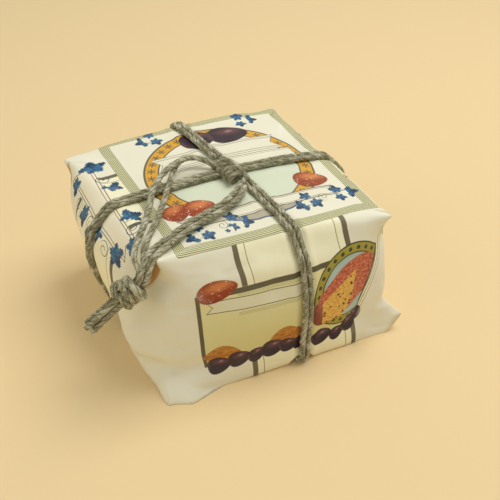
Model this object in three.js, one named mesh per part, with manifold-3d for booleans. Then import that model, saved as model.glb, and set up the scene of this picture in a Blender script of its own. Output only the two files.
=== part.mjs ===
// A panettone of about 750 g as it is sold for giving: the loaf in its paper baking case and a clear
// film bag, wrapped by hand in one printed sheet and tied both ways with doubled jute twine. The loose
// tails of the knot hang over the left end, joined by a knot of their own.
// Millimetres, +Z up. The origin is on the ground under the middle, the front panel faces -Y.
import * as THREE from 'three';
import { mergeVertices } from 'three/addons/utils/BufferGeometryUtils.js';
import Module from 'manifold-3d';

const wasm = await Module();
wasm.setup();

// ---- driving dimensions ---------------------------------------------------------------------------
const TWINE_RADIUS = 2.15;
const TWINE_CLEAR = TWINE_RADIUS + 0.7; // from the middle of the twine to the paper under it
const TWINE_FLOOR = TWINE_RADIUS + 0.3; // its height where it runs under the parcel
const PAPER_WALL = 1.0; // several folded layers of sheet, taken as one wall
const LOAF_RADIUS = 88.5;
const CASE_WALL = 0.8;
const CASE_HEIGHT = 66;
const BAG_WALL = 0.5;
const PIECE_GAP = 0.35; // between pieces that touch
const TOP_Z = 114.5; // crown of the parcel, under the knot
const KNOT_CENTRE = new THREE.Vector3(8.5, 4, 120.7);
const TAIL_KNOT_CENTRE = new THREE.Vector3(-105.5, -71.5, 94.5);

// The parcel's corners, each as [lowest point, highest point], going round anticlockwise from above.
const CORNERS = [
  [new THREE.Vector3(-89, -94, 0), new THREE.Vector3(-85, -76, 112.5)], // front left
  [new THREE.Vector3(91, -92, 0), new THREE.Vector3(92, -86, 106)], // front right
  [new THREE.Vector3(92, 93, 0), new THREE.Vector3(91, 87, 108)], // back right
  [new THREE.Vector3(-92, 92, 0), new THREE.Vector3(-98, 86, 108)], // back left
];

// How far the middle of each side stands out of the straight line between its corners, how far its
// upper edge is drawn back in by the domed loaf, and how high up the side it stands out most.
const SIDES = [
  { bulge: 11.5, drawnIn: 7.5, lift: 1.0 }, // front
  { bulge: 18, drawnIn: 3, lift: 1.7 }, // right end
  { bulge: 9.5, drawnIn: 7.5, lift: 1.0 }, // back
  { bulge: 18, drawnIn: 3, lift: 1.7 }, // left end
];

// Heights of the rings of the wrap, as a share of the side, then of the rings on its top and underside,
// as a share of the way out from the middle.
const SIDE_RINGS = [0.03, 0.14, 0.3, 0.48, 0.64, 0.77, 0.87, 0.94, 1];
const TOP_RINGS = [0.93, 0.8, 0.6, 0.35];
const BASE_RINGS = [0.5, 0.975];
const SIDE_STEPS = 12;

const PAPER = { color: 0xf3edda, roughness: 0.62, metalness: 0 };
const CRUST = { color: 0x8a4a20, roughness: 0.8, metalness: 0 };
const CASE_PAPER = { color: 0x9c6b3f, roughness: 0.85, metalness: 0 };
const FILM = { color: 0xe8eef0, roughness: 0.15, metalness: 0 };
const JUTE = { color: 0x96916f, roughness: 0.95, metalness: 0 };

// ---- solids ---------------------------------------------------------------------------------------
function toManifold(geometry) {
  const bare = geometry.index ? geometry.toNonIndexed() : geometry.clone();
  bare.deleteAttribute('normal');
  bare.deleteAttribute('uv');
  const merged = mergeVertices(bare, 1e-4);
  const used = [];
  const index = merged.index.array;
  for (let i = 0; i < index.length; i += 3) {
    const [a, b, c] = [index[i], index[i + 1], index[i + 2]];
    if (a !== b && b !== c && c !== a) used.push(a, b, c);
  }
  return new wasm.Manifold(new wasm.Mesh({
    numProp: 3,
    vertProperties: new Float32Array(merged.attributes.position.array),
    triVerts: new Uint32Array(used),
  }));
}

function toGeometry(solid) {
  const mesh = solid.getMesh();
  const geometry = new THREE.BufferGeometry();
  geometry.setAttribute('position', new THREE.BufferAttribute(mesh.vertProperties, 3));
  geometry.setIndex(new THREE.BufferAttribute(mesh.triVerts, 1));
  return geometry;
}

function joined(geometries) {
  return geometries.map(toManifold).reduce((whole, next) => whole.add(next));
}

const parcel = new THREE.Group();

function addPiece(name, geometry, finish) {
  geometry.computeVertexNormals();
  const mesh = new THREE.Mesh(geometry, new THREE.MeshStandardMaterial(finish));
  mesh.name = name;
  parcel.add(mesh);
}

// ---- the shape of the wrapped parcel --------------------------------------------------------------
function smoothstep(low, high, value) {
  const share = Math.min(Math.max((value - low) / (high - low), 0), 1);
  return share * share * (3 - 2 * share);
}

// A point on the side of the parcel: `turn` runs from 0 to 4, one for each side from its first corner,
// `height` from 0 at the ground to 1 at the upper edge.
function sidePoint(turn, height) {
  const side = Math.floor(turn) % 4;
  const share = turn - Math.floor(turn);
  const from = CORNERS[side][0].clone().lerp(CORNERS[side][1], height);
  const to = CORNERS[(side + 1) % 4][0].clone().lerp(CORNERS[(side + 1) % 4][1], height);
  const { bulge, drawnIn, lift } = SIDES[side];
  const swell = bulge * Math.sin(Math.PI * height ** lift) ** 0.8;
  const out = (swell - drawnIn * smoothstep(0.8, 1, height)) * (1 - (2 * share - 1) ** 2);
  const outward = new THREE.Vector3(to.y - from.y, from.x - to.x, 0).normalize();
  return from.lerp(to, share).addScaledVector(outward, out);
}

// A point on the domed top, `reach` of the way from under the knot to the upper edge.
function topPoint(turn, reach) {
  const edge = sidePoint(turn, 1);
  return new THREE.Vector3(
    THREE.MathUtils.lerp(KNOT_CENTRE.x, edge.x, reach),
    THREE.MathUtils.lerp(KNOT_CENTRE.y, edge.y, reach),
    THREE.MathUtils.lerp(TOP_Z, edge.z, reach ** 2.2),
  );
}

function basePoint(turn, reach) {
  const edge = sidePoint(turn, 0);
  return new THREE.Vector3(
    THREE.MathUtils.lerp(KNOT_CENTRE.x, edge.x, reach),
    THREE.MathUtils.lerp(KNOT_CENTRE.y, edge.y, reach),
    0,
  );
}

// Where a level line from the knot meets a side at some height, as a turn round the parcel.
function turnTowards(side, way, height) {
  let low = side;
  let high = side + 0.9999;
  for (let i = 0; i < 30; i += 1) {
    const middle = (low + high) / 2;
    const edge = sidePoint(middle, height);
    if (way.x * (edge.y - KNOT_CENTRE.y) - way.y * (edge.x - KNOT_CENTRE.x) < 0) low = middle;
    else high = middle;
  }
  return low;
}

// The closed skin of the parcel: a lathe's rings, each point then moved to its place on the parcel.
// `inset` draws the whole skin inwards, for the hollow inside the sheet.
function parcelSkin(inset) {
  const rings = [
    () => basePoint(0, 0),
    ...BASE_RINGS.map((reach) => (turn) => basePoint(turn, reach)),
    ...SIDE_RINGS.map((height) => (turn) => sidePoint(turn, height)),
    ...TOP_RINGS.map((reach) => (turn) => topPoint(turn, reach)),
    () => topPoint(0, 0),
  ];
  const profile = rings.map((_, i) => new THREE.Vector2(Math.sin((Math.PI * i) / (rings.length - 1)), i));
  profile[rings.length - 1].x = 0;
  const geometry = new THREE.LatheGeometry(profile, SIDE_STEPS * 4);
  const position = geometry.attributes.position;
  const middle = new THREE.Vector3(0, 0, TOP_Z / 2);
  for (let i = 0; i < position.count; i += 1) {
    const turn = (Math.floor(i / rings.length) / SIDE_STEPS) % 4;
    const point = rings[i % rings.length](turn);
    point.x -= Math.sign(point.x) * inset * smoothstep(0, 40, Math.abs(point.x));
    point.y -= Math.sign(point.y) * inset * smoothstep(0, 40, Math.abs(point.y));
    point.z = middle.z + (point.z - middle.z) * (1 - inset / middle.z);
    position.setXYZ(i, point.x, point.y, point.z);
  }
  return geometry;
}

// ---- channels that the twine presses into the underside -------------------------------------------
const BAND_WIDTH = 4 * TWINE_RADIUS;
const CHANNEL_HEIGHT = 2 * TWINE_RADIUS + 0.8;
const EDGE_BITE = 14.8; // side of the square that the twine bites out of each lower edge
const HUMP_LENGTH = 44; // where the strands that run left to right climb over the other two
const BAND_WAY = new THREE.Vector3(-0.1, 1, 0).normalize(); // the front to back strands run a little askew

function channels(extra) {
  const width = BAND_WIDTH + 1.6 + 2 * extra;
  const height = 2 * (CHANNEL_HEIGHT + extra);
  const along = new THREE.BoxGeometry(300, width, height);
  const across = new THREE.BoxGeometry(width, 300, height);
  across.rotateZ(Math.atan2(-BAND_WAY.x, BAND_WAY.y));
  const hump = new THREE.BoxGeometry(HUMP_LENGTH + 2 * extra, width, height + 4 * TWINE_RADIUS + 1);
  const parts = [along, across, hump];
  parts.forEach((part) => part.translate(KNOT_CENTRE.x, KNOT_CENTRE.y, 0));
  [0, 1, 2, 3].forEach((side) => {
    const way = side % 2 ? new THREE.Vector3(1, 0, 0) : BAND_WAY;
    const bite = new THREE.BoxGeometry(EDGE_BITE + 2 * extra, width, EDGE_BITE + 2 * extra);
    bite.rotateY(Math.PI / 4);
    bite.rotateZ(Math.atan2(way.y, way.x));
    const rim = sidePoint(turnTowards(side, side > 0 && side < 3 ? way : way.clone().negate(), 0), 0);
    parts.push(bite.translate(rim.x, rim.y, 0));
  });
  return joined(parts);
}

// A pointed fold of sheet that stands out flat from a lower corner, in line with the face beside it.
function foldedCorner(points, from, direction) {
  const outline = new THREE.Shape(points.map(([out, up]) => new THREE.Vector2(out, up)));
  const geometry = new THREE.ExtrudeGeometry(outline, { depth: 1.6, bevelEnabled: false });
  geometry.rotateX(Math.PI / 2);
  geometry.rotateZ(direction);
  geometry.translate(from.x, from.y, 0);
  return geometry;
}

// ---- paper wrap -----------------------------------------------------------------------------------
// One sheet, closed except for the slit under the base where its two edges overlap.
const frontRightFold = foldedCorner([[-8, 0.4], [0, 0.2], [17.5, 12], [1, 38], [-8, 30]],
  new THREE.Vector3(90, -90.4, 0), 0.04);
const backRightFold = foldedCorner([[-8, 0.4], [0, 0.2], [13, 9], [0, 32], [-8, 26]],
  new THREE.Vector3(91, 92.2, 0), 0);
const wrapOuter = joined([parcelSkin(0), frontRightFold, backRightFold]).subtract(channels(0));
const wrapHollow = toManifold(parcelSkin(PAPER_WALL)).subtract(channels(PAPER_WALL));
const slit = new THREE.BoxGeometry(70, 3, 6);
slit.translate(-50, 30, 0);
const wrap = wrapOuter.subtract(wrapHollow).subtract(toManifold(slit));
addPiece('paper_wrap', toGeometry(wrap), PAPER);

// ---- film bag, baking case and loaf ---------------------------------------------------------------
// All three stand on the twine under the sheet, and their middle is pressed up where it crosses.
const BAG_BASE = CHANNEL_HEIGHT + PAPER_WALL + PIECE_GAP;
const DIMPLE = { rise: 2 * TWINE_RADIUS + 1, inner: 34, outer: 52 };
const LATHE_STEPS = 32;

function lathed(points) {
  const geometry = new THREE.LatheGeometry(points.map(([r, z]) => new THREE.Vector2(r, z)), LATHE_STEPS);
  geometry.rotateX(Math.PI / 2);
  return geometry;
}

function dimpled(radius, base) {
  return [[DIMPLE.inner, base + DIMPLE.rise], [DIMPLE.outer, base], [radius - 6, base], [radius, base + 6]];
}

const caseBase = BAG_BASE + BAG_WALL + PIECE_GAP;
const loafBase = caseBase + CASE_WALL + PIECE_GAP;
const caseRadius = LOAF_RADIUS + PIECE_GAP + CASE_WALL;
const bagRadius = caseRadius + PIECE_GAP + BAG_WALL;
const rimZ = caseBase + CASE_HEIGHT;

// The risen top above the rim of the case, drawn `out` outwards for the bag that lies on it.
function crown(out) {
  return [
    [LOAF_RADIUS + 0.2 + out, rimZ + 4],
    [LOAF_RADIUS - 2.5 + out, rimZ + 13],
    [LOAF_RADIUS - 10 + out, rimZ + 22],
    [LOAF_RADIUS - 24 + out, rimZ + 28.5 + out],
    [LOAF_RADIUS - 46 + out, rimZ + 33 + out],
  ];
}

addPiece('panettone', lathed([
  [0, loafBase + DIMPLE.rise],
  ...dimpled(LOAF_RADIUS, loafBase),
  [LOAF_RADIUS, rimZ + 1],
  ...crown(0),
  [0, rimZ + 35.5],
]), CRUST);

addPiece('baking_case', lathed([
  [0, caseBase + DIMPLE.rise],
  ...dimpled(caseRadius, caseBase),
  [caseRadius, rimZ],
  [caseRadius - CASE_WALL, rimZ],
  ...dimpled(caseRadius - CASE_WALL, caseBase + CASE_WALL).reverse(),
  [0, caseBase + CASE_WALL + DIMPLE.rise],
]), CASE_PAPER);

// The mouth of the bag is turned under the base, which leaves a small hole there.
const BAG_MOUTH = 8;
const lining = PIECE_GAP + 0.1;
addPiece('film_bag', lathed([
  [BAG_MOUTH, BAG_BASE + DIMPLE.rise],
  ...dimpled(bagRadius, BAG_BASE),
  [bagRadius, rimZ + 1],
  ...crown(lining + BAG_WALL + 0.4),
  [0, rimZ + 35.5 + lining + BAG_WALL + 0.4],
  [0, rimZ + 35.5 + lining + 0.4],
  ...crown(lining + 0.4).reverse(),
  [bagRadius - BAG_WALL, rimZ + 1],
  ...dimpled(bagRadius - BAG_WALL, BAG_BASE + BAG_WALL).reverse(),
  [BAG_MOUTH, BAG_BASE + BAG_WALL + DIMPLE.rise],
  [BAG_MOUTH, BAG_BASE + DIMPLE.rise],
]), FILM);

// ---- twine ----------------------------------------------------------------------------------------
const SECTION_SIDES = 8;
const section = new THREE.Shape(Array.from({ length: SECTION_SIDES }, (_, i) => {
  const angle = (2 * Math.PI * i) / SECTION_SIDES;
  return new THREE.Vector2(TWINE_RADIUS * Math.cos(angle), TWINE_RADIUS * Math.sin(angle));
}));

// A tube through the points, with two steps from each point to the next, so that it is finest where
// they stand closest.
function twine(points) {
  const path = new THREE.CatmullRomCurve3(points, false, 'centripetal');
  path.getUtoTmapping = (share) => share;
  const steps = 2 * (points.length - 1);
  return new THREE.ExtrudeGeometry(section, { steps, bevelEnabled: false, extrudePath: path });
}

// Half of a band, from beside the knot over one side to under the base, lying on the sheet. It runs
// `way` over `side`, begins `start` of the way out from the middle, and keeps `beside` its middle line.
const OVER_TOP = [0.45, 0.72, 0.88, 0.96];
const DOWN_SIDE = [0.995, 0.96, 0.91, 0.83, 0.68, 0.5, 0.33, 0.18, 0.08];
const UNDER_BASE = [0.94, 0.84, 0.55];

function halfBand(side, way, start, beside) {
  const sideways = new THREE.Vector3(-way.y, way.x, 0);
  const edgeTurn = turnTowards(side, way, 1);
  const baseTurn = turnTowards(side, way, 0);
  const down = (height) => sidePoint(turnTowards(side, way, height), height);
  const places = [
    ...[start, ...OVER_TOP].map((reach) => (shift) => topPoint(edgeTurn, reach + shift)),
    ...DOWN_SIDE.map((height) => (shift) => down(height - shift)),
  ];
  const above = places.map((place) => {
    const point = place(0);
    const ahead = place(0.01).sub(point).normalize();
    const normal = new THREE.Vector3().crossVectors(ahead, sideways).normalize();
    return point.addScaledVector(normal, normal.dot(way) + normal.z < 0 ? -TWINE_CLEAR : TWINE_CLEAR);
  });
  const below = [
    down(0).addScaledVector(way, 1.9).setZ(TWINE_FLOOR + 1.5),
    ...UNDER_BASE.map((reach) => basePoint(baseTurn, reach).setZ(TWINE_FLOOR)),
  ];
  return [...above, ...below].map((point) => point.addScaledVector(sideways, beside));
}

// A whole strand, down one side and up the opposite one. `climb` lifts its middle over the other band.
function strand(side, way, starts, beside, climb) {
  const first = halfBand(side, way, starts[0], beside);
  const second = halfBand((side + 2) % 4, way.clone().negate(), starts[1], -beside);
  const sideways = new THREE.Vector3(-way.y, way.x, 0);
  const middle = [18, 9, 0, -9, -18].map((along) => {
    const lift = climb * (1 - smoothstep(8, HUMP_LENGTH / 2 - 1, Math.abs(along)));
    return new THREE.Vector3(KNOT_CENTRE.x, KNOT_CENTRE.y, TWINE_FLOOR + lift)
      .addScaledVector(way, along)
      .addScaledVector(sideways, beside);
  });
  return twine([...first, ...middle, ...second.reverse()]);
}

const PITCH = TWINE_RADIUS + 0.2;
const RIGHT = new THREE.Vector3(1, 0, 0);
const FRONT = BAND_WAY.clone().negate();
[-1, 1].forEach((which, i) => {
  addPiece(`twine_side_to_side_${i + 1}`,
    strand(1, RIGHT, [0.15, 0.125], which * PITCH, 2 * TWINE_RADIUS + 0.35), JUTE);
  addPiece(`twine_front_to_back_${i + 1}`, strand(0, FRONT, [0.26, 0.26], which * PITCH, 0), JUTE);
});

// The knots: turns of twine drawn tight round a core, each one lump once it is pulled up.
function knot(centre, size, turns, facing) {
  const core = new THREE.SphereGeometry(1, 16, 10);
  core.scale(size.x, size.y, size.z);
  const wraps = turns.map(([along, tilt]) => {
    const ring = new THREE.TorusGeometry(1, TWINE_RADIUS / size.z, 8, 20);
    const girth = Math.sqrt(Math.max(1 - (along / size.y) ** 2, 0.3));
    ring.rotateX(Math.PI / 2);
    ring.scale((size.x - 1.2) * girth, 5.2, (size.z - 1.2) * girth);
    ring.rotateZ(tilt);
    ring.translate(0, along, 0);
    return ring;
  });
  const solid = toGeometry(joined([core, ...wraps]));
  solid.applyQuaternion(new THREE.Quaternion().setFromUnitVectors(new THREE.Vector3(0, 1, 0), facing));
  solid.translate(centre.x, centre.y, centre.z);
  return solid;
}

addPiece('top_knot', knot(KNOT_CENTRE, new THREE.Vector3(7, 16, 4.6), [[-9, 0.25], [-1, 0.25], [7, 0.25]],
  BAND_WAY), JUTE);

const endsWay = new THREE.Vector3(-0.62, 0.27, -0.74).normalize();
addPiece('tail_knot', knot(TAIL_KNOT_CENTRE, new THREE.Vector3(7.6, 11, 7.6), [[-4.5, 0.5], [2, 0.5]],
  endsWay), JUTE);

// Tails: two rise from the back of the knot and fall over the left edge, two lie along the top. The
// routes are laid by hand, from the knot to the tail knot.
const TAILS = [
  [[-4, 8, 121], [-12, 13, 126.5], [-22, 15.5, 129.2], [-34, 13.5, 129.2], [-47, 7, 127], [-59, -3, 123.5],
    [-69, -19, 120], [-79, -34, 117.2], [-91, -49, 114], [-97.5, -61, 111.5], [-98.4, -70.8, 105.2]],
  [[-3, 14, 119], [-9, 21, 121.5], [-17, 25, 122.8], [-26, 24, 122.8], [-36, 14.5, 122.3],
    [-47, -2, 121.5], [-58, -18, 119.3], [-69, -33, 117.2], [-80, -46, 115.8], [-88.5, -56.5, 112.6],
    [-92.3, -66, 107.3], [-94.6, -73.8, 102.4]],
  [[3.5, -18.5, 120], [-6, -28, 119.4], [-20, -36, 118.4], [-35, -41, 117.8], [-51, -47, 117.4],
    [-66, -53.5, 117], [-79, -60, 116.8], [-88, -64.8, 115.4], [-95, -71.5, 112.8], [-100.8, -77.4, 106.4]],
  [[4, -24.5, 119.5], [-6, -34.5, 118.8], [-20, -42, 118.2], [-35, -47, 117.8], [-51, -53, 117.6],
    [-66, -60, 117.5], [-79, -66.5, 117], [-87.5, -71.5, 114.8], [-93, -75.8, 108.8], [-96.6, -78.2, 102.5]],
].map((route) => route.map(([x, y, z]) => new THREE.Vector3(x, y, z)));

// Below the tail knot the four cut ends stay side by side and splay a little.
const upright = new THREE.Vector3(0, 0, 1);
const endsAcross = new THREE.Vector3().crossVectors(endsWay, upright).normalize();
const endsBeside = new THREE.Vector3().crossVectors(endsWay, endsAcross).normalize();
const END_LENGTH = 31;
const END_PLACES = [[-1, -1], [1, -1], [-1, 1], [1, 1]];

TAILS.forEach((route, i) => {
  addPiece(`twine_tail_${i + 1}`, twine(route), JUTE);
  const [across, beside] = END_PLACES[i];
  const end = [0, 0.5, 1].map((share) => TAIL_KNOT_CENTRE.clone()
    .addScaledVector(endsWay, 12.5 + END_LENGTH * share)
    .addScaledVector(endsAcross, across * (2.35 + 1.3 * share ** 2))
    .addScaledVector(endsBeside, beside * (2.35 + 0.7 * share ** 2)));
  addPiece(`twine_end_${i + 1}`, twine(end), JUTE);
});

export default parcel;
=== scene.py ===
import math
import random

import bpy
import numpy as np
from mathutils import Matrix, Vector, noise


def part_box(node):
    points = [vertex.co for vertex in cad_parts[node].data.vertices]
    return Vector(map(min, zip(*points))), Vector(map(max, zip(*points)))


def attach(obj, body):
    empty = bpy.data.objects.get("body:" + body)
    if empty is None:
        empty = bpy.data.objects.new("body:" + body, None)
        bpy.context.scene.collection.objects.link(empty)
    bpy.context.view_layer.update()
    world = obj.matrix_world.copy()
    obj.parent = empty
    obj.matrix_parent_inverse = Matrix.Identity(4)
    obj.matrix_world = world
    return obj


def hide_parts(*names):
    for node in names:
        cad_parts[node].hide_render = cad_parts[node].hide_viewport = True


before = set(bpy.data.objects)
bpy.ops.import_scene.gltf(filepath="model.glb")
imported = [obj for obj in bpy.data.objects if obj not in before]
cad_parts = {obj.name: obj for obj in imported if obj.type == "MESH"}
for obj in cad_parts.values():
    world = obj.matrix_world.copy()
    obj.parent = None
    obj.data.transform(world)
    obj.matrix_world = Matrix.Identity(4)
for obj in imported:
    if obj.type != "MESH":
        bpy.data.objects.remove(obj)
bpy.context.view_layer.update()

# ---- camera ----------------------------------------------------------------------------------------
# A short telephoto view from the front left and above, with the knot near the middle.
view_right = Vector((0.88756, -0.45986, 0.02788))
view_forward = Vector((0.38342, 0.70376, -0.59809))
view_up = view_right.cross(view_forward)
camera = bpy.data.objects.new("camera", bpy.data.cameras.new("camera"))
camera.data.lens = 62.48
camera.data.clip_start = 0.02
camera.matrix_world = Matrix.Translation((-0.2496, -0.5014, 0.4648)) @ Matrix(
    (view_right, view_up, -view_forward)).transposed().to_4x4()
bpy.context.scene.collection.objects.link(camera)
bpy.context.scene.camera = camera

# ---- jute twine, four loose tails ------------------------------------------------------------------
# Garden twine of natural jute, three plies twisted hard and about 4.3 mm thick, with loose fibres.
# Four tails leave the knot on top, fall over the left end and pass through a knot of their own.
TWINE_RADIUS = 0.00215
PLY_TURN = 0.021  # length in which a ply goes once round
RING_STEP = 0.00085  # from one ring of the strand's surface to the next
TWINE_SIDES = 18
HAIR_MARGIN = 9  # rings at either end of a strand without loose fibres
HAIR_LENGTH, HAIR_RISE, HAIR_THICK = (0.0015, 0.0048), (0.0003, 0.0012), (0.00005, 0.00010)
HAIR_STEPS = 4


def smooth_path(points, step):
    """Points at equal steps along a centripetal curve through the given ones."""
    p = np.array(points, float)
    p = np.vstack([2 * p[0] - p[1], p, 2 * p[-1] - p[-2]])
    fine = []
    for a, b, c, d in zip(p[:-3], p[1:-2], p[2:-1], p[3:]):
        t1 = np.linalg.norm(b - a) ** 0.5
        t2 = t1 + np.linalg.norm(c - b) ** 0.5
        t3 = t2 + np.linalg.norm(d - c) ** 0.5
        t = np.linspace(t1, t2, 24, endpoint=False)[:, None]
        ab = (t1 - t) / t1 * a + t / t1 * b
        bc = (t2 - t) / (t2 - t1) * b + (t - t1) / (t2 - t1) * c
        cd = (t3 - t) / (t3 - t2) * c + (t - t2) / (t3 - t2) * d
        abc = (t2 - t) / t2 * ab + t / t2 * bc
        bcd = (t3 - t) / (t3 - t1) * bc + (t - t1) / (t3 - t1) * cd
        fine.append((t2 - t) / (t2 - t1) * abc + (t - t1) / (t2 - t1) * bcd)
    fine = np.vstack(fine + [p[-2][None]])
    along = lengths_along(fine)
    even = np.linspace(0, along[-1], max(8, round(along[-1] / step)))
    return np.stack([np.interp(even, along, fine[:, k]) for k in range(3)], 1)


def lengths_along(path):
    """The length of the path up to each of its points."""
    return np.r_[0, np.cumsum(np.linalg.norm(np.diff(path, axis=0), axis=1))]


def frames_along(path):
    """Directions along and across a path, the across ones carried along without any twist."""
    ahead = np.gradient(path, axis=0)
    ahead /= np.linalg.norm(ahead, axis=1)[:, None]
    side = np.cross(ahead[0], (0.3, 0.2, 1.0))
    side /= np.linalg.norm(side)
    sides = []
    for way in ahead:
        side = side - way * side.dot(way)
        side = side / np.linalg.norm(side)
        sides.append(side)
    sides = np.array(sides)
    return ahead, sides, np.cross(ahead, sides)


def twine_piece(name, path, seed, hairs_per_metre, radius=TWINE_RADIUS):
    """A closed tube with three twisted plies and loose fibres along it, following the path."""
    rng = random.Random(seed)
    ahead, side, other = frames_along(path)
    along = lengths_along(path)
    phase = rng.uniform(0, 6.28)
    n = TWINE_SIDES
    vertices, uv, faces = [], [], []
    angle = np.linspace(0, 2 * np.pi, n, endpoint=False)
    wander = np.array([noise.noise(Vector((s * 90, seed * 3.1, 0.5))) for s in along])
    for i, (centre, s) in enumerate(zip(path, along)):
        turn = phase + 2 * np.pi * s / PLY_TURN + wander[i] * 2.4
        ply = np.abs(np.cos(1.5 * (angle - turn))) ** 0.7
        size = radius * (0.74 + 0.31 * ply) * (1 + 0.12 * wander[i])
        vertices.extend(centre + size[:, None] * (np.cos(angle)[:, None] * side[i]
                                                  + np.sin(angle)[:, None] * other[i]))
        uv.extend(np.stack([(angle - turn) / (2 * np.pi), np.full(n, s * 100)], 1))
    for i in range(len(path) - 1):
        for k in range(n):
            a, b = i * n + k, i * n + (k + 1) % n
            faces.append((a, b, b + n, a + n))
    for row, way in ((0, -1), (len(path) - 1, 1)):
        middle = len(vertices)
        vertices.append(path[row] + way * ahead[row] * radius * 0.35)
        uv.append((0.5, along[row] * 100))
        for k in range(n):
            a, b = row * n + k, row * n + (k + 1) % n
            faces.append((a, b, middle) if way > 0 else (b, a, middle))
    for _ in range(int(along[-1] * hairs_per_metre)):
        i = rng.randrange(HAIR_MARGIN, len(path) - HAIR_MARGIN)
        a = rng.uniform(0, 2 * math.pi)
        out = math.cos(a) * side[i] + math.sin(a) * other[i]
        around = math.cos(a) * other[i] - math.sin(a) * side[i]
        sign = rng.choice((-1, 1))
        length, rise, thick = (rng.uniform(*span) for span in (HAIR_LENGTH, HAIR_RISE, HAIR_THICK))
        first = len(vertices)
        for j in range(HAIR_STEPS + 1):
            f = j / HAIR_STEPS
            at = (path[i] + out * (radius * 0.86 + rise * math.sin(f * 1.9))
                  + sign * ahead[i] * length * f * 0.85 + around * length * 0.32 * f * sign)
            w = thick * (1 - 0.7 * f)
            vertices.extend([at + around * w, at - around * w * 0.5 + out * w * 0.9,
                             at - around * w * 0.5 - out * w * 0.9])
            uv.extend([(0.1, along[i] * 100 + f)] * 3)
        for j in range(HAIR_STEPS):
            b0 = first + 3 * j
            for k in range(3):
                faces.append((b0 + k, b0 + (k + 1) % 3, b0 + 3 + (k + 1) % 3, b0 + 3 + k))
        top = first + 3 * HAIR_STEPS
        faces += [(first + 2, first + 1, first), (top, top + 1, top + 2)]
    vertices = np.array(vertices)
    vertices[:, 2] = np.maximum(vertices[:, 2], 0)  # nothing reaches under the table top
    mesh = bpy.data.meshes.new(name)
    mesh.from_pydata(vertices.tolist(), [], faces)
    corners = np.empty(len(mesh.loops), np.int32)
    mesh.loops.foreach_get("vertex_index", corners)
    layer = mesh.uv_layers.new(name="strand")
    layer.data.foreach_set("uv", np.asarray(uv, np.float32)[corners].ravel())
    mesh.update()
    mesh.shade_smooth()
    mesh.materials.append(jute)
    piece = bpy.data.objects.new(name, mesh)
    bpy.context.scene.collection.objects.link(piece)
    return piece


class Shade:
    """A value or colour that nodes draw over a surface. Its sums, products and powers are shades too."""

    def __init__(self, socket):
        self.socket = socket

    def __getitem__(self, output):
        return Shade(self.socket.node.outputs[output])

    def __add__(self, other):
        return calc("ADD", self, other)

    def __sub__(self, other):
        return calc("SUBTRACT", self, other)

    def __rsub__(self, other):
        return calc("SUBTRACT", other, self)

    def __mul__(self, other):
        return calc("MULTIPLY", self, other)

    def __truediv__(self, other):
        return calc("DIVIDE", self, other)

    def __pow__(self, other):
        return calc("POWER", self, other)

    def __abs__(self):
        return calc("ABSOLUTE", self)

    __radd__, __rmul__ = __add__, __mul__


def new_material(name, plain_color):
    """A new node material. What is drawn from here on goes into its tree and to its shader."""
    global tree, shader
    material = bpy.data.materials.new(name)
    material.use_nodes = True
    material.diffuse_color = plain_color
    tree = material.node_tree
    shader = next(n for n in tree.nodes if n.type == "BSDF_PRINCIPLED")
    return material


def set_inputs(node, inputs):
    """Gives inputs of a node their values, or links them to shades."""
    for key, value in inputs.items():
        if isinstance(value, Shade):
            node.id_data.links.new(value.socket, node.inputs[key])
        else:
            node.inputs[key].default_value = value


def add(kind, inputs=None, **settings):
    """The first output of a new node; another one is had by its name or number in brackets."""
    node = tree.nodes.new("ShaderNode" + kind)
    for key, value in settings.items():
        setattr(node, key, value)
    set_inputs(node, inputs or {})
    return Shade(node.outputs[0])


def calc(operation, a, b=0.0, c=0.0, clamp=False):
    return add("Math", {0: a, 1: b, 2: c}, operation=operation, use_clamp=clamp)


def distance(a, b):
    return calc("SQRT", a * a + b * b)


def step_up(value, low, high, to_low=0.0, to_high=1.0):
    """Maps value from low..high to to_low..to_high, smoothly and clamped."""
    return add("MapRange", {"Value": value, "From Min": low, "From Max": high, "To Min": to_low,
                            "To Max": to_high}, interpolation_type="SMOOTHSTEP")


def step_down(value, low, high):
    return step_up(value, low, high, 1.0, 0.0)


def clouds(place, scale, detail, roughness=0.5, distortion=0.0):
    return add("TexNoise", {"Vector": place, "Scale": scale, "Detail": detail, "Roughness": roughness,
                            "Distortion": distortion})


def bump(height, strength, depth):
    return add("Bump", {"Height": height, "Strength": strength, "Distance": depth})


def blend(mask, a, b):
    """Colour a where the mask is 0 and b where it is 1."""
    return add("Mix", {0: mask, 6: a, 7: b}, data_type="RGBA")[2]


def srgb(r, g, b):
    """Linear colour from the usual 0 to 255 values."""
    return tuple((v / 255 / 12.92) if v <= 10 else ((v / 255 + 0.055) / 1.055) ** 2.4 for v in (r, g, b)) + (1.0,)


jute = new_material("jute", srgb(150, 145, 115))
strand = add("UVMap", uv_map="strand")
fibre = clouds(add("Mapping", {"Vector": strand, "Scale": (9.0, 1.1, 1.0)}), 4.2, 5.0, 0.62)
place = add("TexCoord")["Object"]
patches = clouds(place, 140.0, 3.0)
flecks = clouds(place, 900.0, 2.0)
round_ply = add("SeparateXYZ", {0: strand})
groove = step_down(abs(calc("COSINE", round_ply * (3 * math.pi))), 0.0, 0.42)
tone = add("ValToRGB", {"Fac": fibre})
stops = tone.socket.node.color_ramp.elements
stops.new(0.5)
for stop, position, tint in zip(stops, (0.36, 0.5, 0.65), ((92, 87, 60), (154, 150, 116), (224, 219, 190))):
    stop.position, stop.color = position, srgb(*tint)
# painted highlights: paler patches laid over the fibres
color = blend(step_up(patches, 0.50, 0.64, 0.0, 0.70), tone, srgb(220, 216, 190))
color = blend(step_up(patches, 0.46, 0.34, 0.0, 0.60), color, srgb(112, 107, 78))
color = blend(step_up(flecks, 0.60, 0.70, 0.0, 0.6), color, srgb(96, 80, 52))
# painted shade: the grooves between the plies are darkened
color = blend(groove * 0.72, color, srgb(66, 60, 40))
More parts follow.
